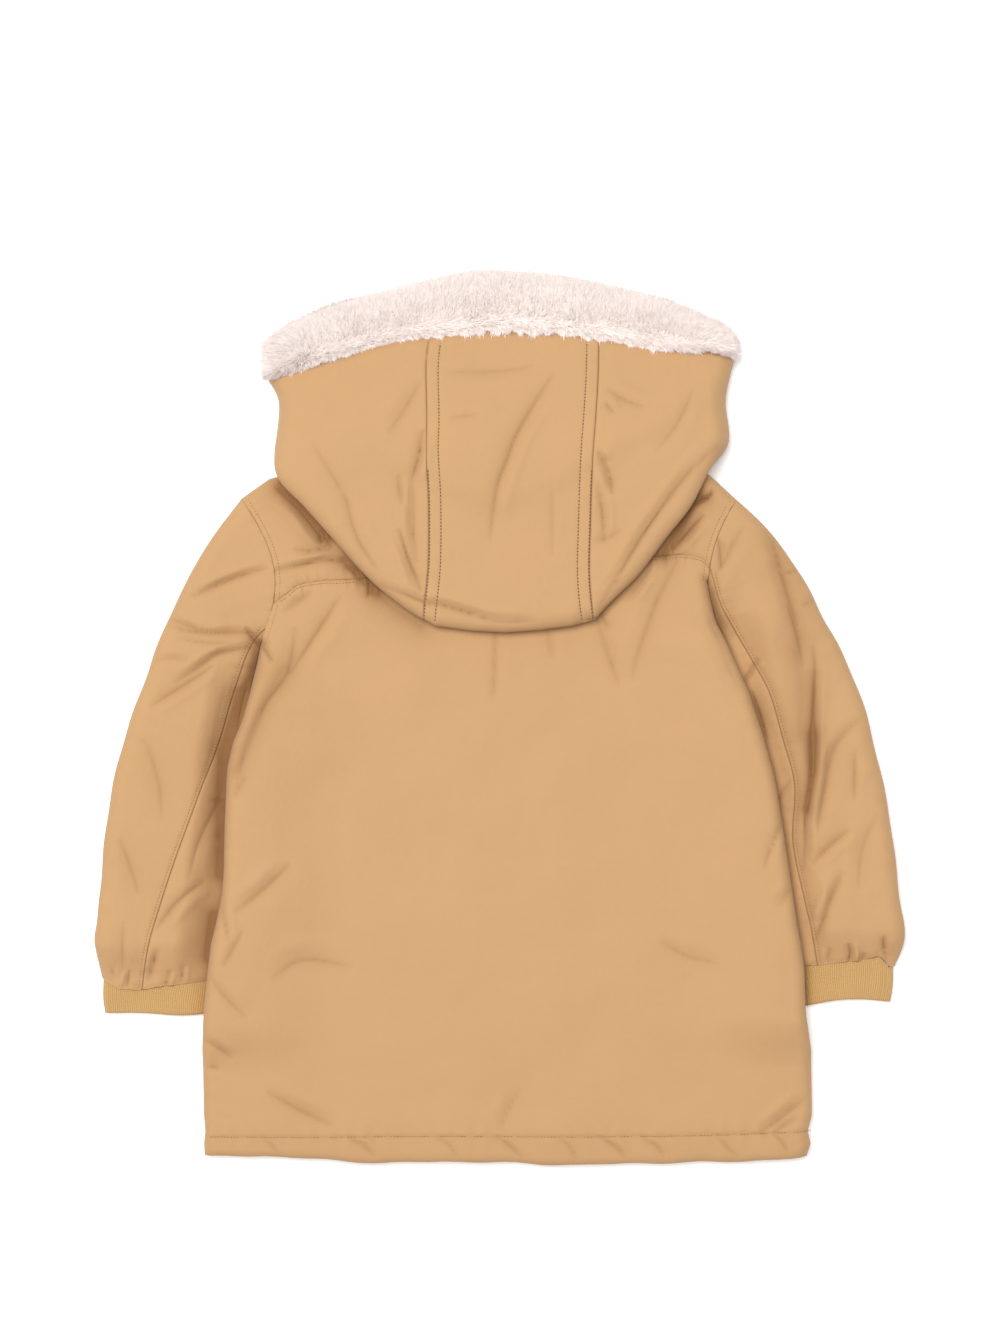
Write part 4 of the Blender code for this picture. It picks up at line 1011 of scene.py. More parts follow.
# %% Hood tables and layers
# outline x, y; seam x, y; end of the under layer x, y
HOOD = {
    "left": ((-146.2, 212.2, -44.5, 239.5, -77, 178.8), (-139.8, 197, -46.4, 220, -77, 175.5),
             (-142.2, 166, -45.8, 188, -77, 170.5), (-138.7, 148.6, -46.2, 166, -72, 163),
             (-123, 131.7, -44.8, 140, -50, 158), (-106, 112.7, -44.5, 117, -46.2, 140),
             (-89.3, 93.8, -44.8, 97, -45.4, 117), (-76.6, 81.2, -46, 82, -45.2, 95),
             (-61.9, 69.6, -47.4, 70, -46.6, 78), (-51.5, 62.6, -48.2, 61.2, -47.8, 64)),
    "right": ((148, 225, 62.3, 239.3, 77, 184), (142.8, 200, 61.6, 213, 77, 175.5),
              (144.6, 173, 60, 188, 77, 170.5), (131.8, 154.9, 58.3, 166, 74, 163),
              (120, 132, 57.2, 141, 60, 158), (105, 112.7, 56.6, 118, 57.6, 140),
              (87.6, 89.5, 56, 97, 56.8, 117), (75, 77, 56.4, 82, 57, 95),
              (66.5, 68.6, 57.6, 69.6, 57.6, 78), (61, 62.4, 58.9, 60.6, 58.6, 64)),
}
HOOD_FOLD = ((-48.2, 61.2), (-40.8, 56.9), (-17.8, 53.8), (3.4, 52.7), (24.4, 54.2), (45.5, 56.9),
             (58.9, 60.6))
# x, y of the shell seam, y of the fur's outer edge
FUR_STRIP = ((-149.5, 214, 238), (-142, 214.5, 243.3), (-127, 218, 251.7), (-102, 226.4, 262.3),
             (-60, 237.5, 273.8), (-22, 241.5, 282.3), (0, 243.5, 283.3), (40, 241.5, 280),
             (87, 234, 269.6), (110, 230.8, 262), (128, 231, 254), (142, 229.4, 247.3), (149.5, 227, 240))
FUR_SEAM = [(row[0], row[1]) for row in FUR_STRIP]
UNDER_STRIP_NECK, UNDER_STRIP_CORNERS = 147, (213, 225)
HOOD_UNDER, HOOD_UPPER, HOOD_REST, TOPSTITCH = 7.0, 8.0, 0.4, 7.6
HOOD_SEAMS = {side: smooth([row[2:4] for row in HOOD[side]], 60) for side in SIDES}
HOOD_ROWS = {side: beside(HOOD_SEAMS[side], -SIGN[side] * TOPSTITCH) for side in SIDES}
HOOD_EDGES = {side: smooth(HOOD[side], 46)[:, 0:2] for side in SIDES}
HOOD_OUTLINE = [*HOOD_EDGES["left"], *HOOD_FOLD[1:-1], *HOOD_EDGES["right"][::-1]]
BODY_HIGH = WALL_FRONT + BODY_SLIT + WALL_BACK


def beyond_shoulder(plan):
    return plan[..., 1] - table_y(BACK_TOP, plan[..., 0])


def hood_rest(plan):
    """Height that carries the hood: the body's top, then down to the floor past the shoulders."""
    return BODY_HIGH * (1 - ease(0, 30, beyond_shoulder(plan)))


def hood_bridge(plan):
    """The hood's own thickness bridges the step past the shoulders, so its top slopes gently."""
    past = beyond_shoulder(plan)
    return BODY_HIGH * (ease(0, 30, past) - ease(-10, 100, past))


def under_strip_seam(x):
    """Shell edge of the fur strip's under half: a V from the corners down to the neck."""
    corner = np.where(np.asarray(x) < 0, *UNDER_STRIP_CORNERS)
    return UNDER_STRIP_NECK + (corner - UNDER_STRIP_NECK) * np.clip(np.abs(x) / 146, 0, 1) ** 1.1


def hood_slit(plan):
    return 1.6 + 2.2 * ease(-28, -8, plan[..., 1] - under_strip_seam(plan[..., 0]))


def hood_relief(plan):
    total = folds(plan, HOOD_FOLDS) + wadding(plan, 41, (66, 0.6), (17, 0.08), (6, 0.03))
    for side, phase in zip(SIDES, (0.4, 1.9)):
        total += sewn(plan, HOOD_SEAMS[side], (1.1, 0.3, 0.6, 0.4), (6, 0.3, 9.5, phase))
        total += sewn(plan, HOOD_ROWS[side], (1.0, 0.35, 0, 0.2), (4, 0.2, 6, phase))
    total += sewn(plan, FUR_SEAM, (2.2, 1.2), (10, 0.5, 12, 0.3))
    total += puckers(plan, HOOD_OUTLINE, 8, 0.6, 16, 0.9)
    total[..., 0] = gentle(total[..., 0], HOOD_DEEPEST)
    return total


HOOD_LAYERS = Layers([HOOD_OUTLINE], 10, 5,
                     lambda p: hood_rest(p) + HOOD_REST + HOOD_UNDER + hood_slit(p) / 2,
                     lambda p: HOOD_UPPER + hood_slit(p) / 2 + hood_bridge(p),
                     lambda p: HOOD_UNDER + hood_slit(p) / 2, hood_slit, hood_relief)
print(f"the hood is {HOOD['right'][0][0] - HOOD['left'][0][0]:.0f} mm wide at the fur")


# %% [markdown]
# ### The hood's three panels
# A side panel is a fan from the centre seam to the hood's rolled edge, and on round to its under
# layer. The centre panel is one long strip: down the back of the hood, round the lowest fold and up
# again to the neck seam.

# %% Hood panels
OVER_LONG, UNDER_LONG = 190, 105    # about how long the centre panel is, over and under its fold
SIDE_ROWS = 205
# distances from a sewn edge at which the grids have a line; the rows of thread lie on these
BY_SEAM = np.array((0, 0.25, 0.7, 1.4, 2.4, 3.8, 5.4, 6.6, 7.2, 7.6, 8.0, 8.6, 9.8, 11.5))


def make_hood_side(side, cloth):
    """A fan of lines from the centre seam to the rolled edge, and round it to the under layer's end."""
    rows = smooth(HOOD[side], SIDE_ROWS)
    grid, kinds = [], []
    away_from_seam = SIGN[side]
    half_join = np.array((away_from_seam * JOIN / 2, 0))
    for row in rows:
        edge, seam, end = row[0:2], row[2:4] + half_join, row[4:6] + half_join
        width, under_width = np.linalg.norm(edge - seam), np.linalg.norm(edge - end)
        fine = ROLL * min(1, width / 24) / width
        by_seam = 1 - BY_SEAM * min(1, width / 60) / width
        over = np.concatenate((by_seam, np.linspace(by_seam[-1], fine[-1], 82)[1:], fine[-2::-1]))
        fine = ROLL * min(1, under_width / 24) / under_width
        below = np.concatenate((fine[1:], np.linspace(fine[-1], 1, 12)[1:]))
        grid.append([edge + (seam - edge) * s for s in over] + [edge + (end - edge) * s for s in below])
        kinds.append([1] * (len(over) - 1) + [0] + [-1] * len(below))
    grid, kinds = np.array(grid), np.array(kinds)
    lift = np.interp(grid[..., 0], *zip(*FUR_SEAM)) - 2 * SEAM - grid[0, :, 1]
    grid[..., 1] += lift * (kinds > 0) * np.clip(1 - 3.5 * np.arange(SIDE_ROWS) / SIDE_ROWS, 0, 1)[:, None]
    widths = np.linalg.norm(rows[:, 0:2] - rows[:, 2:4], axis=1)[:, None]
    outer, inner, dark = HOOD_LAYERS.faces(grid, kinds, 0.4 * widths)
    seam_x = rows[:, 2:3] + away_from_seam * JOIN / 2
    inner[..., 0] = away_from_seam * np.maximum(away_from_seam * inner[..., 0], away_from_seam * seam_x)
    piece = panel("shell_hood_side_" + side, (outer, inner, dark), cloth)
    lay(piece, outer, "hood_side_" + side)


def make_hood_centre(cloth):
    """From the fur seam down the middle, round the lowest fold and back up to the neck seam."""
    left, right = HOOD_SEAMS["left"], HOOD_SEAMS["right"]
    wide = HOOD_FOLD[-1][0] - HOOD_FOLD[0][0] - JOIN
    inside = np.linspace(BY_SEAM[-1], wide - BY_SEAM[-1], 84)[1:-1]
    cols = np.concatenate((BY_SEAM, inside, wide - BY_SEAM[::-1])) / wide
    fold_x = HOOD_FOLD[0][0] + JOIN / 2 + wide * cols
    fold_y = np.interp(fold_x, *zip(*HOOD_FOLD))
    fur_y = np.interp(fold_x, *zip(*FUR_SEAM)) - SEAM
    neck_y = table_y(BACK_TOP, fold_x) - 0.5
    grid, kinds = [], []

    def add_rows(start_y, end_y, shares, kind, gap):
        for t in shares:
            y = start_y + (end_y - start_y) * t
            x_left = np.interp(-y[0], -left[:, 1], left[:, 0]) + gap
            x_right = np.interp(-y[-1], -right[:, 1], right[:, 0]) - gap
            grid.append(np.column_stack((x_left + (x_right - x_left) * cols, y)))
            kinds.append(kind)

    down, back = ROLL / OVER_LONG, ROLL / UNDER_LONG
    over = np.concatenate((np.linspace(0, 1 - down[-1], 195), 1 - down[-2::-1]))
    add_rows(fur_y, fold_y, over, 1, JOIN / 2)
    kinds[-1] = 0
    add_rows(fold_y, neck_y, np.concatenate((back[1:], np.linspace(back[-1], 1, 24)[1:])), -1, 0.9)
    grids = HOOD_LAYERS.faces(np.array(grid), np.array(kinds)[:, None])
    lay(panel("shell_hood_centre", grids, cloth), grids[0], "hood_centre")


# %% [markdown]
# ## The fur
# The trim is a strip of pile fabric sewn round the face edge. Its ground cloth is a padded roll. The
# pile stands on it as tens of thousands of short bent blades, because a thick plush edge is made of
# tufts that lean different ways, which no bump can show at its outline.

# %% Ground of the fur
# thickness of the under half, height of the upper one, width of the under half, half length, wall
FUR_UNDER, FUR_PILE, FUR_UNDER_WIDE, FUR_CORNER, FUR_WALL = 9.8, 27.0, 34.0, 150.8, 5
FUR_DRAW = 3.4      # how far the ground stays inside the fur's outline, to leave room for the pile
# share of the way from seam to edge, height of the ground, rise of its inner face
FUR_PROFILE = ((0, 0.78, 0.1), (0.12, 0.92, 0), (0.35, 1.0, 0), (0.62, 0.98, 0), (0.86, 0.78, 0),
               (1, 0.42, 0.15))
PILE_LOW, PILE_HIGH = 0.3, 38.5     # the pile keeps off the floor and under the CAD's top
SHELL_TOP = 18.2                    # blades that spill over the shell end above this height


def fur_columns():
    """The strip's stations: the under half from the middle to the left end, the upper one, and back."""
    upper = np.concatenate((-FUR_CORNER + ROLL, np.linspace(-137, 137, 150), FUR_CORNER - ROLL[::-1]))
    under = np.concatenate((FUR_CORNER - ROLL[1:], np.linspace(137, 9, 50)))
    xs = np.concatenate((-under[::-1], upper, under))
    kind = np.concatenate((-np.ones(len(under)), np.ones(len(upper)), -np.ones(len(under))))
    kind[len(under)] = kind[len(under) + len(upper) - 1] = 0
    return xs, kind


def fur_surface(xs, kind, share):
    """Points of the strip's outer and inner faces; kind is 1 above, -1 below, 0 where it turns under."""
    strip = np.array(FUR_STRIP)
    places = np.linspace(0, 1, 60)
    curve = smooth(strip * (FUR_CORNER / strip[-1, 0], 1, 1), places)
    seam_y = np.interp(xs, curve[:, 0], curve[:, 1]) + JOIN
    edge_y = np.interp(xs, curve[:, 0], curve[:, 2])
    under_seam = np.maximum(under_strip_seam(xs), 0) + 1.2
    from_end = FUR_CORNER - np.abs(xs)
    turn = ease(0, 26, from_end)
    below = kind < 0
    seam_y = np.where(below, seam_y + (under_seam - seam_y) * turn, seam_y)
    edge_y = np.where(below, edge_y + (under_seam + FUR_UNDER_WIDE - edge_y) * turn, edge_y) - FUR_DRAW
    shares, piles, rises = zip(*FUR_PROFILE)
    profile = smooth(np.column_stack((shares, piles, rises)), places)
    pile, rise = (np.interp(share, profile[:, 0], profile[:, k]) for k in (1, 2))
    y = seam_y + (edge_y - seam_y) * share
    plan = np.column_stack((xs, y))
    roll = np.sqrt(1 - np.clip(1 - from_end / 11, 0, 1) ** 2)
    over_under = ease(80, 98, np.abs(xs))
    rest = hood_rest(plan) * ease(60, 82, np.abs(xs)) * below
    floor_gap = 0.3 + 10.4 * over_under + rise * 9 * (1 - over_under)
    lumps = 0.35 * np.sin(xs / 9.0 + share * 4) + 0.5 * np.sin(xs / 23.0 - share * 3)
    pile_top = FUR_PILE * pile + 3.0 * over_under + lumps - 0.5 * FUR_DRAW * ease(0, 0.4, share)
    mid = rest + FUR_UNDER + 0.5
    top = mid + (np.maximum(pile_top, floor_gap + 4) - mid) * roll
    near = np.clip(from_end / FUR_WALL, 0, 1)
    high = np.where(kind > 0, top, np.where(below, mid - (mid - rest) * roll, mid))
    low = np.where(kind > 0, mid + (floor_gap - mid) * near, np.where(below, mid - 0.5 * near, mid))
    inset = np.clip(FUR_WALL - from_end, 0, None) * -np.sign(xs)
    drawn = xs - np.sign(xs) * FUR_DRAW * np.clip(1 - from_end / 20, 0, 1)
    return np.column_stack((drawn, y, high)), np.column_stack((drawn + inset, y, low))


def make_fur_ground(pile):
    xs, kind = fur_columns()
    pairs = [fur_surface(xs, kind, share) for share in np.linspace(0, 1, 30)]
    outer, inner = np.array([p[0] for p in pairs]), np.array([p[1] for p in pairs])
    return panel("fur_ground", (outer, inner, np.zeros(outer.shape[:2])), pile, slot="fur"), outer


# %% [markdown]
# ### The pile
# Each blade is a ribbon that narrows to a point. It leaves the ground steeply and bends over the way
# the pile is brushed: down over the shell at the seam, outwards at the edge, and in slow swirls in
# between. Blades near each other lean to one tip, and these tufts give plush its look.

# %% Pile blades
BLADES_IN_TUFT = 14
BEND_AT = 0.55      # share of a blade's way at which it bends
# name, ends along the strip, 1 above or -1 below, blades, share of them on the edge wall, seed
PILES = (("left", -FUR_CORNER, -50, 1, 31500, 0.12, 51), ("middle", -50, 50, 1, 31500, 0.14, 52),
         ("right", 50, FUR_CORNER, 1, 31500, 0.12, 53), ("under_left", -FUR_CORNER, -9, -1, 6000, 0.4, 54),
         ("under_right", 9, FUR_CORNER, -1, 6000, 0.4, 55))


def unit(vectors):
    return vectors / (np.linalg.norm(vectors, axis=1)[:, None] + 1e-9)


def pile_frame(xs, share, kind):
    """Point, normal and brushed direction of the pile; a share of 1 to 2 is on the strip's edge wall."""
    on_wall = np.clip(share - 1, 0, 1)[:, None]
    share = np.minimum(share, 1)
    here, lining = fur_surface(xs, kind, share)
    left, right = (fur_surface(np.clip(xs + d, -FUR_CORNER, FUR_CORNER), kind, share)[0]
                   for d in (-0.4, 0.4))
    near, far = (fur_surface(xs, kind, np.clip(share + d, 0, 1))[0] for d in (-0.01, 0.01))
    side, over = unit(right - left), unit(far - near)
    up = unit(np.cross(side, over))
    up = np.where(on_wall > 0, over, up * np.sign(kind)[:, None])
    over = np.where(on_wall > 0, -kind[:, None] * (0, 0, 1), over)
    return here + (lining - here) * on_wall, up, side, over


def pile_leaning(xs, share, kind, dice):
    """Where each root's blade ends, seen from the root."""
    here, up, side, over = pile_frame(xs, share, kind)
    spill = np.interp(xs, (-80, -45, 85, 125), (-0.45, -0.8, -0.8, -0.45))
    brushed = np.interp(share, (0, 0.2, 0.4, 0.7, 1), (0, 0.3, 0.65, 0.9, 1.0))
    brushed += spill * np.interp(share, (0, 0.05, 0.22), (1, 0.6, 0))
    swirl = 0.7 * np.sin(xs / 13 + 2.1 * np.sin(xs / 31)) + 0.5 * np.sin(xs / 5.7 + share * 9)
    swirl = swirl * (0.25 + 0.4 * np.sin(np.pi * share))
    ends = np.sign(xs) * ease(116, 146, np.abs(xs)) * 1.3
    parting = 0.8 * np.exp(-((share - 0.14) / 0.09) ** 2) * (1 - ease(110, 140, np.abs(xs)))
    lean = over * brushed[:, None] + side * (0.42 * swirl + ends + parting)[:, None]
    lean += 0.28 * dice.normal(size=(len(xs), 3))
    size = 6.6 - 2.0 * ease(0.7, 1, share) + 0.5 * dice.normal(size=len(xs)).clip(-1.5, 1.5)
    uneven = np.interp(xs, (-80, -45, 85, 125), (0.12, 0.5, 0.5, 0.2))
    clumps = 0.72 + uneven * np.sin(xs / 1.9 + np.sin(xs / 7)) * np.sin(xs / 4.7)
    size *= np.where(share < 0.06, clumps, 1)
    return here, up, lean, size


def make_pile(name, low_x, high_x, kind_value, count, wall_part, seed, pile):
    dice = np.random.default_rng(seed)
    xs = dice.uniform(low_x, high_x, count)
    part = dice.uniform(0, 1, count)
    share = dice.uniform(0, 1, count)
    share = np.where(part < 0.08, 0.06 * share, np.where(part > 0.83, 0.8 + 0.2 * share, share))
    share = np.where(dice.uniform(0, 1, count) < wall_part, 1 + dice.uniform(0, 1, count), share)
    kind = np.full(count, float(kind_value))
    here, up, lean, size = pile_leaning(xs, share, kind, dice)
    tufts = count // BLADES_IN_TUFT
    tuft_x, tuft_share = dice.uniform(low_x, high_x, tufts), dice.uniform(0, 1, tufts)
    middles, tuft_up, tuft_lean, tuft_size = pile_leaning(tuft_x, tuft_share, kind[:tufts], dice)
    tuft_tip = middles + (0.38 * tuft_up + 0.82 * tuft_lean) * tuft_size[:, None]
    finder = KDTree(tufts)
    for k, point in enumerate(middles):
        finder.insert(point, k)
    finder.balance()
    nearest = np.array([finder.find(point)[1] for point in here])
    rise = up * 0.62 + lean * 0.25
    tip = here + (0.30 * up + 0.85 * lean) * size[:, None]
    pull = dice.uniform(0.1, 0.55, count)[:, None]
    tip = tip + (tuft_tip[nearest] - tip) * pull
    if kind_value > 0:
        over_shell = (share < 0.3) & (tip[:, 2] < SHELL_TOP)
        tip[over_shell, 2] = SHELL_TOP + dice.uniform(0, 1.2, over_shell.sum())
    middle = here + rise * size[:, None] * BEND_AT
    root = here - up * 0.8
    for ends in (tip, middle, root):
        ends[:, 2] = np.clip(ends[:, 2], PILE_LOW, PILE_HIGH)
    run = tip - root
    flat = unit(np.cross(run, up))
    wide = (dice.uniform(0.14, 0.24, count) * (1 + 0.3 * (1 - ease(0.15, 0.35, share))))[:, None]
    levels = []
    for t, w in ((0.0, 1.0), (BEND_AT, 0.85)):
        centre = root * (1 - t) ** 2 + middle * 2 * t * (1 - t) + tip * t ** 2
        levels += [centre - flat * wide * w, centre + flat * wide * w]
    points = np.stack(levels + [tip], 1).reshape(-1, 3)
    base = np.arange(count)[:, None] * 5
    faces = [*(base + (0, 1, 3, 2)).tolist(), *(base + (2, 3, 4)).tolist()]
    # tones are random per tuft and per blade, plus painted light and shade by place: lighter from the seam
    # towards the middle, where the blades shade each other, darker towards the outer edge, and a little
    # darker right at the seam and at the left end
    tones_and_painted_light = 0.25 * dice.uniform(0, 1, tufts)[nearest] + 0.2 * dice.uniform(0, 1, count)
    tones_and_painted_light += 0.45 * (1 - ease(0.15, 0.8, share)) * (1 - 0.7 * ease(112, 144, np.abs(xs)))
    tones_and_painted_light += 0.04 - 0.2 * (1 - ease(0.02, 0.2, share)) - 0.07 * (1 - ease(-130, -50, xs))
    print(f"{name}: {count} blades in {tufts} tufts")
    return add_piece(name, points, faces, pile, "fur", tip=np.tile((0, 0, BEND_AT, BEND_AT, 1), count),
                     tone=np.repeat(tones_and_painted_light, 5))


def make_fur(pile):
    ground, outer = make_fur_ground(pile)
    pieces = [make_pile("fur_pile_" + name, *row, pile) for name, *row in PILES]
    lay(ground, outer, "fur_trim")


# %% [markdown]
# ## Sewing
# Every seam that shows is topstitched. A row is many short threads that dip into the cloth at each end,
# and between two threads the needle leaves a small hole, drawn as a dark disc of painted shade. Both are
# laid on the height that the layers give, so they follow the folds.

# %% Stitches
PITCH, STITCH_LONG, THREAD_WIDE = 2.1, 1.2, 0.34
HOLE_LONG, HOLE_WIDE, HOLE_HIGH = 0.52, 0.36, 0.12      # half axes of a needle hole, and its height
# along a stitch, height and width of the thread; then across it, share of the width and of the height
THREAD_RINGS = ((-1, -0.10, 0.45), (-0.62, 0.20, 0.9), (0, 0.30, 1.0), (0.62, 0.20, 0.9), (1, -0.10, 0.45))
THREAD_ROUND = ((-1, 0.25), (-0.55, 1.0), (0.55, 1.0), (1, 0.25))


def even_points(line, pitch, start, stop):
    """Points at an even pitch along a line, with the direction there."""
    line = np.asarray(line, float)
    walked = np.concatenate(((0,), np.cumsum(np.linalg.norm(np.diff(line, axis=0), axis=1))))
    marks = np.arange(start + pitch / 2, walked[-1] - stop, pitch)
    at, ahead, back = (np.column_stack([np.interp(marks + move, walked, line[:, k]) for k in (0, 1)])
                       for move in (0, 0.3, -0.3))
    run = ahead - back
    return at, run / np.linalg.norm(run, axis=1)[:, None]


def make_stitches(name, rows, finish, hole_shade_finish, hole=0.7):
    """rows: (line, layers, start, stop). One mesh of threads and one of dark discs of painted shade at the
    needle holes.
    """
    threads, holes = [], []
    for line, layers, start, stop in rows:
        at, run = even_points(line, PITCH, start, stop)
        across = np.column_stack((-run[:, 1], run[:, 0]))
        rings = []
        for t, high, wide in THREAD_RINGS:
            plan = at + run * t * STITCH_LONG / 2
            top = layers.top(plan)
            half = THREAD_WIDE / 2 * wide
            rings.append(np.stack([np.column_stack((plan + across * half * side, top + high * lift))
                                   for side, lift in THREAD_ROUND], 1))
        threads.append(np.stack(rings, 1).reshape(-1, 20, 3))
        gap = at + run * PITCH / 2
        top = layers.top(gap) + HOLE_HIGH
        turns = np.linspace(0, 2 * np.pi, 7)[:-1]
        holes.append(np.stack([np.column_stack((
            gap + (run * HOLE_LONG * math.cos(a) + across * HOLE_WIDE * math.sin(a)) * hole, top))
            for a in turns], 1))
    threads, holes = np.concatenate(threads), np.concatenate(holes)
    faces = quads(np.arange(20).reshape(5, 4))
    thread_faces = (np.arange(len(threads))[:, None, None] * 20 + np.array(faces)).reshape(-1, 4)
    hole_faces = np.arange(len(holes) * 6).reshape(-1, 6)
    add_piece("thread_" + name, threads.reshape(-1, 3), thread_faces.tolist(), finish, "shell_cloth")
    add_piece("needle_hole_shades_" + name, holes.reshape(-1, 3), hole_faces.tolist(), hole_shade_finish, "shell_cloth")
    print(f"{name}: {len(threads)} stitches")


def make_sewing(finish, hole_shade_finish):
    rows = []
    for side in SIDES:
        rows.append((beside(HOOD_SEAMS[side], -SIGN[side] * 0.6), HOOD_LAYERS, 84, 1))
        rows.append((HOOD_ROWS[side], HOOD_LAYERS, 4, 1))
    make_stitches("hood", rows, finish, hole_shade_finish, 1.3)
    rows = [(smooth(HEM_STITCH, 80), BODY_LAYERS, 6, 4), (beside(YOKE_LINE, -2.0), BODY_LAYERS, 2, 2)]
    rows += [(ARMHOLE_ROWS[side], BODY_LAYERS, 2, 1) for side in SIDES]
    make_stitches("body", rows, finish, hole_shade_finish)
    for side in SIDES:
        row = beside(back_seam(side, SLEEVE_ROWS[side])[2][4:], SIGN[side] * SEAM_ROW)
        make_stitches("sleeve_" + side, [(row, SLEEVE_LAYERS[side], 1, 2)], finish, hole_shade_finish)


# %% [markdown]
# ## Finishes as Python expressions
# A finish is a tree of shader nodes. Long trees are hard to read, so a small class wraps a socket and
# adds the Math node for each +, -, * or / written in Python. Any other node comes from one method, which
# sets the node's own settings first and then fills or links its sockets.

# %% Shader helpers
class Wire:
    """A shader socket that takes part in Python arithmetic."""

    def __init__(self, finish, socket):
        self.finish, self.socket = finish, socket

    def maths(self, operation, first, second=0.0):
        return self.finish.node("ShaderNodeMath", {"operation": operation}, {0: first, 1: second})

    def __add__(self, other):
        return self.maths("ADD", self, other)

    def __sub__(self, other):
        return self.maths("SUBTRACT", self, other)

    def __rsub__(self, other):
        return self.maths("SUBTRACT", other, self)

    def __mul__(self, other):
        return self.maths("MULTIPLY", self, other)

    def sin(self):
        return self.maths("SINE", self)

    __radd__, __rmul__ = __add__, __mul__


class Finish:
    """A material, its Principled shader, and the one method that adds nodes."""

    def __init__(self, name, **constants):
        self.material = bpy.data.materials.new(name)
        self.material.use_nodes = True
        self.tree = self.material.node_tree
        self.shader = self.tree.nodes["Principled BSDF"]
        for socket, value in constants.items():
            self.shader.inputs[socket.replace("_", " ")].default_value = value

    def node(self, kind, settings=None, sockets=None, out=0):
        made = self.tree.nodes.new(kind)
        for key, value in (settings or {}).items():
            setattr(made, key, value)
        for key, value in (sockets or {}).items():
            if isinstance(value, Wire):
                self.tree.links.new(value.socket, made.inputs[key])
            else:
                made.inputs[key].default_value = value
        return Wire(self, made.outputs[out])

    def blend(self, share, first, second):
        """Mixes two colours; either may be a plain tuple."""
        return self.node("ShaderNodeMix", {"data_type": "RGBA"}, {0: share, 6: first, 7: second}, 2)

    def value(self, name, vector=False):
        """A value that the mesh carries for each point."""
        return self.node("ShaderNodeAttribute", {"attribute_name": name}, out=1 if vector else 2)

    def axis(self, vector, which):
        return self.node("ShaderNodeSeparateXYZ", {}, {0: vector}, which)

    def noise(self, where, scale, detail):
        """Soft noise from 0 to 1; a scale of three numbers stretches it."""
        if not np.isscalar(scale):
            where = self.node("ShaderNodeVectorMath", {"operation": "MULTIPLY"}, {0: where, 1: scale})
            scale = 1.0
        return self.node("ShaderNodeTexNoise", {}, {"Vector": where, "Scale": scale, "Detail": detail})

    def bump(self, height, strength):
        made = self.node("ShaderNodeBump", {}, {"Height": height, "Strength": strength, "Distance": 1.0})
        self.feed("Normal", made)

    def ramp(self, value, low, high):
        """0 at low and 1 at high, cut off beyond them."""
        return self.node("ShaderNodeMapRange", {}, {"Value": value, "From Min": low, "From Max": high})

    def feed(self, socket, wire):
        self.tree.links.new(wire.socket, self.shader.inputs[socket])


def colour(red, green, blue):
    """A colour as a paint shop names it, 0 to 255, turned into the linear values that light uses."""
    line = [((v / 255 + 0.055) / 1.055) ** 2.4 if v > 10 else v / 3294 for v in (red, green, blue)]
    return (*line, 1)


def toned(base, share):
    """The same colour, lighter or darker."""
    return (*(min(v * share, 1) for v in base[:3]), 1)


print("shell cloth in linear light:", [round(v, 3) for v in colour(215, 170, 122)])

# %% [markdown]
# ### Shell cloth
# The shell is a tightly woven cotton in warm sand. Its threads are about a third of a millimetre apart.
# Close up they make a fine weave; from further off one only sees thicker threads as faint streaks along
# and across the cloth, and a slight unevenness of the dye. The weave follows each panel's own lengths.

# %% Shell cloth finish
THREAD = 0.00038    # pitch of the weave, in metres


def shell_cloth(name, base, deep):
    finish = Finish(name, Metallic=0.0, Sheen_Weight=0.10, Sheen_Roughness=0.45, Specular_IOR_Level=0.32)
    cloth, fold = finish.value("cloth", True), finish.value("fold")
    across, along = finish.axis(cloth, 0), finish.axis(cloth, 1)
    turn = 2 * math.pi / THREAD
    weave = (across * turn).sin() * (along * turn).sin()
    weft = finish.noise(cloth, (60.0, 2400.0, 1.0), 1.0)
    warp = finish.noise(cloth, (2400.0, 60.0, 1.0), 1.0)
    streak = (weft + warp) * 0.5 - 0.5
    dye = finish.noise(cloth, 22.0, 3.0) - 0.5
    soft = finish.noise(cloth, 240.0, 3.0) - 0.5
    tone = streak * 0.30 + dye * 0.22 + soft * 0.10 + 0.5
    light = finish.blend(finish.ramp(tone, 0.3, 0.7), toned(base, 0.93), toned(base, 1.06))
    # painted shade: the colour darkens towards deep by the fold value, in creases, seams and tucks
    finish.feed("Base Color", finish.blend(finish.ramp(fold, 0.0, 1.0) * 0.8, light, deep))
    finish.feed("Roughness", 0.82 + dye * 0.12 + streak * 0.1)
    height = weave * 0.00003 + streak * 0.00010 + soft * 0.00012
    finish.bump(height, 0.55)
    return finish.material


# the second colour is the painted shade that creases, seams and tucks take
SHELL_FINISH = shell_cloth("shell_cloth", colour(191, 150, 105), colour(124, 82, 43))
print("shell cloth has", len(SHELL_FINISH.node_tree.nodes), "nodes")

# %% [markdown]
# ### Rib knit and thread
# The cuffs are dyed to match, but knit takes the dye a little greener and darker, and it is matt. The
# ribs are modelled, so the finish adds only the small loops that step down each rib, with painted shade
# between the loops, in the rib valleys and under the body's edge, and a little unevenness of the yarn. The
# sewing thread is the same sand a shade lighter, with its twist as a fine bump.

# %% Rib knit finish
LOOP = 0.0011       # height of a knitted loop, in metres


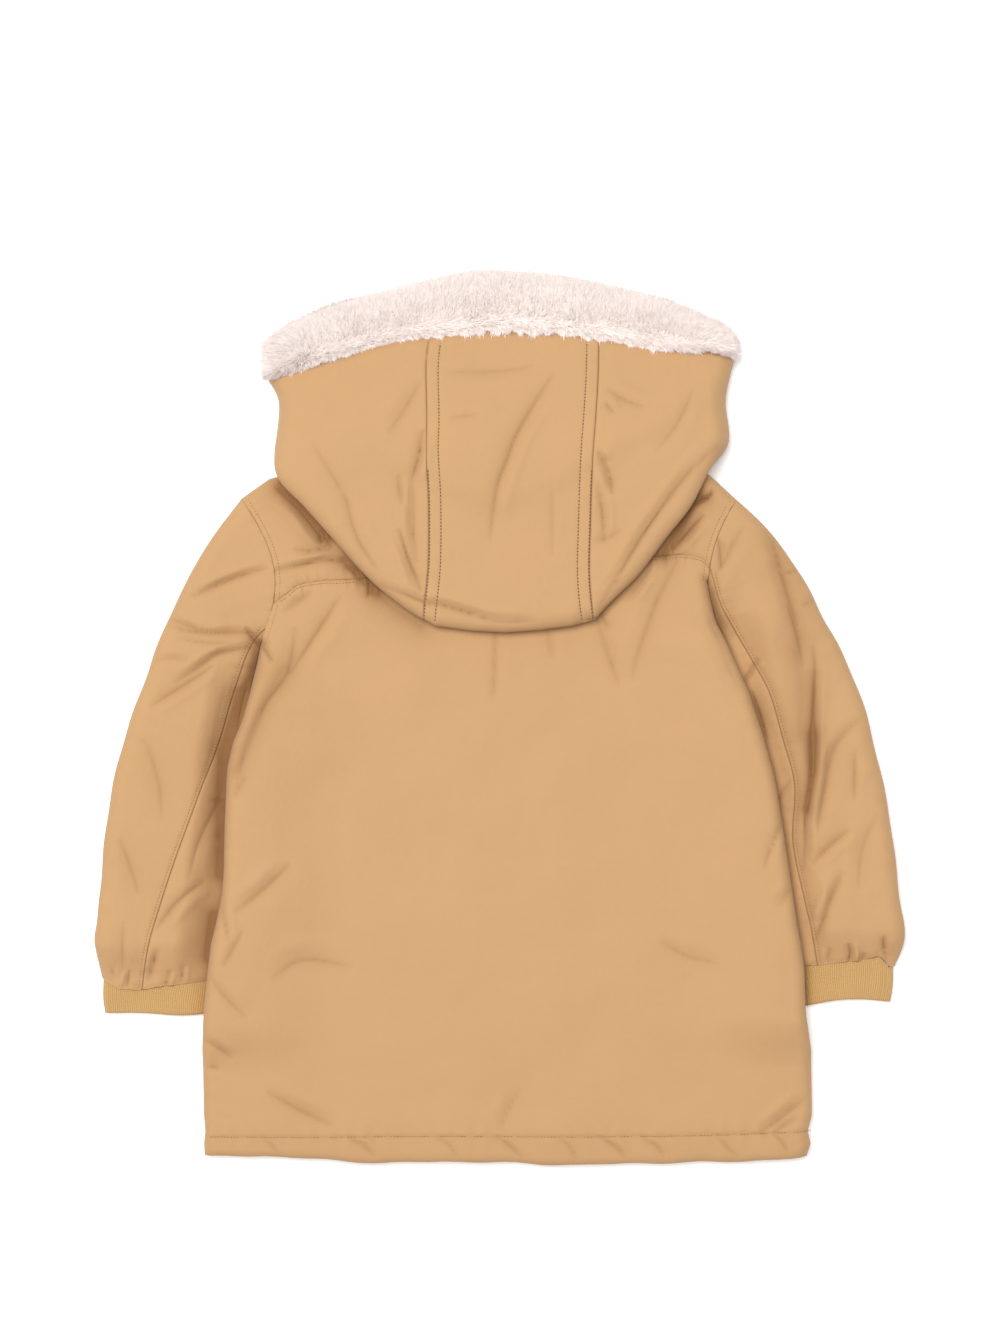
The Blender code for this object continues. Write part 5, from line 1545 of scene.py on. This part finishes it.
def rib_knit(name, base, deep):
    finish = Finish(name, Metallic=0.0, Sheen_Weight=0.15, Sheen_Roughness=0.5, Specular_IOR_Level=0.25,
                    Roughness=0.9)
    cloth, fold = finish.value("cloth", True), finish.value("fold")
    across, along = finish.axis(cloth, 0), finish.axis(cloth, 1)
    slant = finish.noise(cloth, (300.0, 60.0, 1.0), 1.0)
    step = (across * (math.pi / (RIB_PITCH * MM))).sin() * 1.4
    loops = (along * (2 * math.pi / LOOP) + slant * 5.0 + step).sin()
    yarn = finish.noise(cloth, 900.0, 2.0) - 0.5
    # painted shade from the fold value and between the loops, and uneven yarn from the noise
    dark = (fold * 0.75 + (0.5 - loops * 0.5) * 0.25) + yarn * 0.4
    finish.feed("Base Color", finish.blend(finish.ramp(dark, 0.0, 1.0), base, deep))
    finish.bump(loops * 0.00012 + yarn * 0.0002, 0.7)
    return finish.material


def thread_finish(name, base):
    finish = Finish(name, Metallic=0.0, Roughness=0.65, Specular_IOR_Level=0.4)
    place = finish.node("ShaderNodeTexCoord", {}, {}, 3)
    twist = finish.noise(place, 1400.0, 1.0) - 0.5
    finish.feed("Base Color", finish.blend(finish.ramp(twist, -0.3, 0.3), toned(base, 0.8), base))
    finish.bump(twist * 0.0002, 0.5)
    return finish.material


RIB_FINISH = rib_knit("rib_knit", colour(215, 177, 121), colour(168, 127, 75))
THREAD_FINISH = thread_finish("thread", colour(188, 144, 96))
# painted shade: the needle holes are drawn as discs of a dark thread colour
HOLE_SHADE_FINISH = thread_finish("needle_hole_shade", colour(104, 66, 32))
print("knit and thread ready")

# %% [markdown]
# ### Fur
# Plush pile is almost white with a pink warmth in its depths. Each blade carries how far up it a point
# is and a tone of its own. Roots are drawn warmer and darker than tips, a painted shade of the pile's
# depths, and blades differ; the tone also carries painted light and shade by place on the strip. Light
# wanders from blade to blade inside such pile, which a surface shader leaves out, so a little emission of
# the pile's own colour stands in for it.

# %% Fur finish
def fur_finish(name, root, tip):
    finish = Finish(name, Metallic=0.0, Roughness=0.7, Sheen_Weight=0.2, Sheen_Roughness=0.6,
                    Specular_IOR_Level=0.2, Emission_Strength=0.08)
    share = finish.ramp(finish.value("tip") * 0.5 + finish.value("tone") * 0.7, 0.0, 0.9)
    pile = finish.blend(share, root, tip)
    finish.feed("Base Color", pile)
    finish.feed("Emission Color", pile)
    return finish.material


FUR_FINISH = fur_finish("fur", colour(186, 172, 166), colour(248, 238, 233))
print("fur ready")

# %% [markdown]
# ## Sewing it together
# Now each piece is made with its finish, from the body outwards: back and fronts, sleeves with their
# cuffs, the hood, the fur, and last the rows of thread.

# %% Make the pieces
make_back(SHELL_FINISH)
make_fronts(SHELL_FINISH)
for side in SIDES:
    make_sleeve(side, SHELL_FINISH)
    make_cuff(side, RIB_FINISH)
    make_hood_side(side, SHELL_FINISH)
make_hood_centre(SHELL_FINISH)
make_fur(FUR_FINISH)
make_sewing(THREAD_FINISH, HOLE_SHADE_FINISH)

# %% [markdown]
# ## Camera, floor and light
# The coat is seen from straight above, on a pale light table, whose glow takes away the hard
# shadows. One broad soft light from the upper left gives the folds their shape, and the room's even
# light fills the rest.

# %% Camera, floor and lights
# in metres: the camera's height, the middle and the length of what it sees; then its sensor in mm
CAMERA_HIGH, VIEW_MIDDLE, VIEW_LONG, SENSOR = 2.4, 0.0311, 0.847, 24.0
FLOOR_HALF, FLOOR_Z = 12, -0.0006


def add_camera():
    lens = bpy.data.cameras.new("camera")
    camera = put("camera", lens)
    camera.location = (0, VIEW_MIDDLE, CAMERA_HIGH)
    lens.sensor_fit = "VERTICAL"
    lens.sensor_height = SENSOR
    lens.lens = SENSOR * CAMERA_HIGH / VIEW_LONG
    bpy.context.scene.camera = camera


def add_floor():
    finish = Finish("pale_floor", Metallic=0.0, Roughness=0.9, Emission_Strength=0.2)
    finish.shader.inputs["Base Color"].default_value = (0.93, 0.93, 0.93, 1)
    mesh = bpy.data.meshes.new("floor")
    corners = [(FLOOR_HALF * x, FLOOR_HALF * y, 0) for x, y in ((-1, -1), (1, -1), (1, 1), (-1, 1))]
    mesh.from_pydata(corners, [], [(0, 1, 2, 3)])
    mesh.materials.append(finish.material)
    floor = put("floor", mesh)
    floor.location.z = FLOOR_Z


def add_light(name, place, size, watts):
    light = bpy.data.lights.new(name, "AREA")
    light.size, light.energy = size, watts
    lamp = put(name, light)
    lamp.location = place
    lamp.rotation_euler = Vector(place).to_track_quat("Z", "Y").to_euler()


def add_room(strength):
    world = bpy.data.worlds.new("studio")
    world.use_nodes = True
    world.node_tree.nodes["Background"].inputs[0].default_value = (1, 1, 1, 1)
    world.node_tree.nodes["Background"].inputs[1].default_value = strength
    bpy.context.scene.world = world
    bpy.context.scene.view_settings.view_transform = "Standard"


add_camera()
add_floor()
add_light("key", (-0.85, 0.95, 4.95), 2.2, 260)
add_room(0.45)
print("camera, floor and lights ready")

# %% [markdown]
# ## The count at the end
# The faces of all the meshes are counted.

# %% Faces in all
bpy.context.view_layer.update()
faces = sum(len(o.data.polygons) for o in bpy.data.objects if o.type == "MESH")
print("faces in all:", faces)
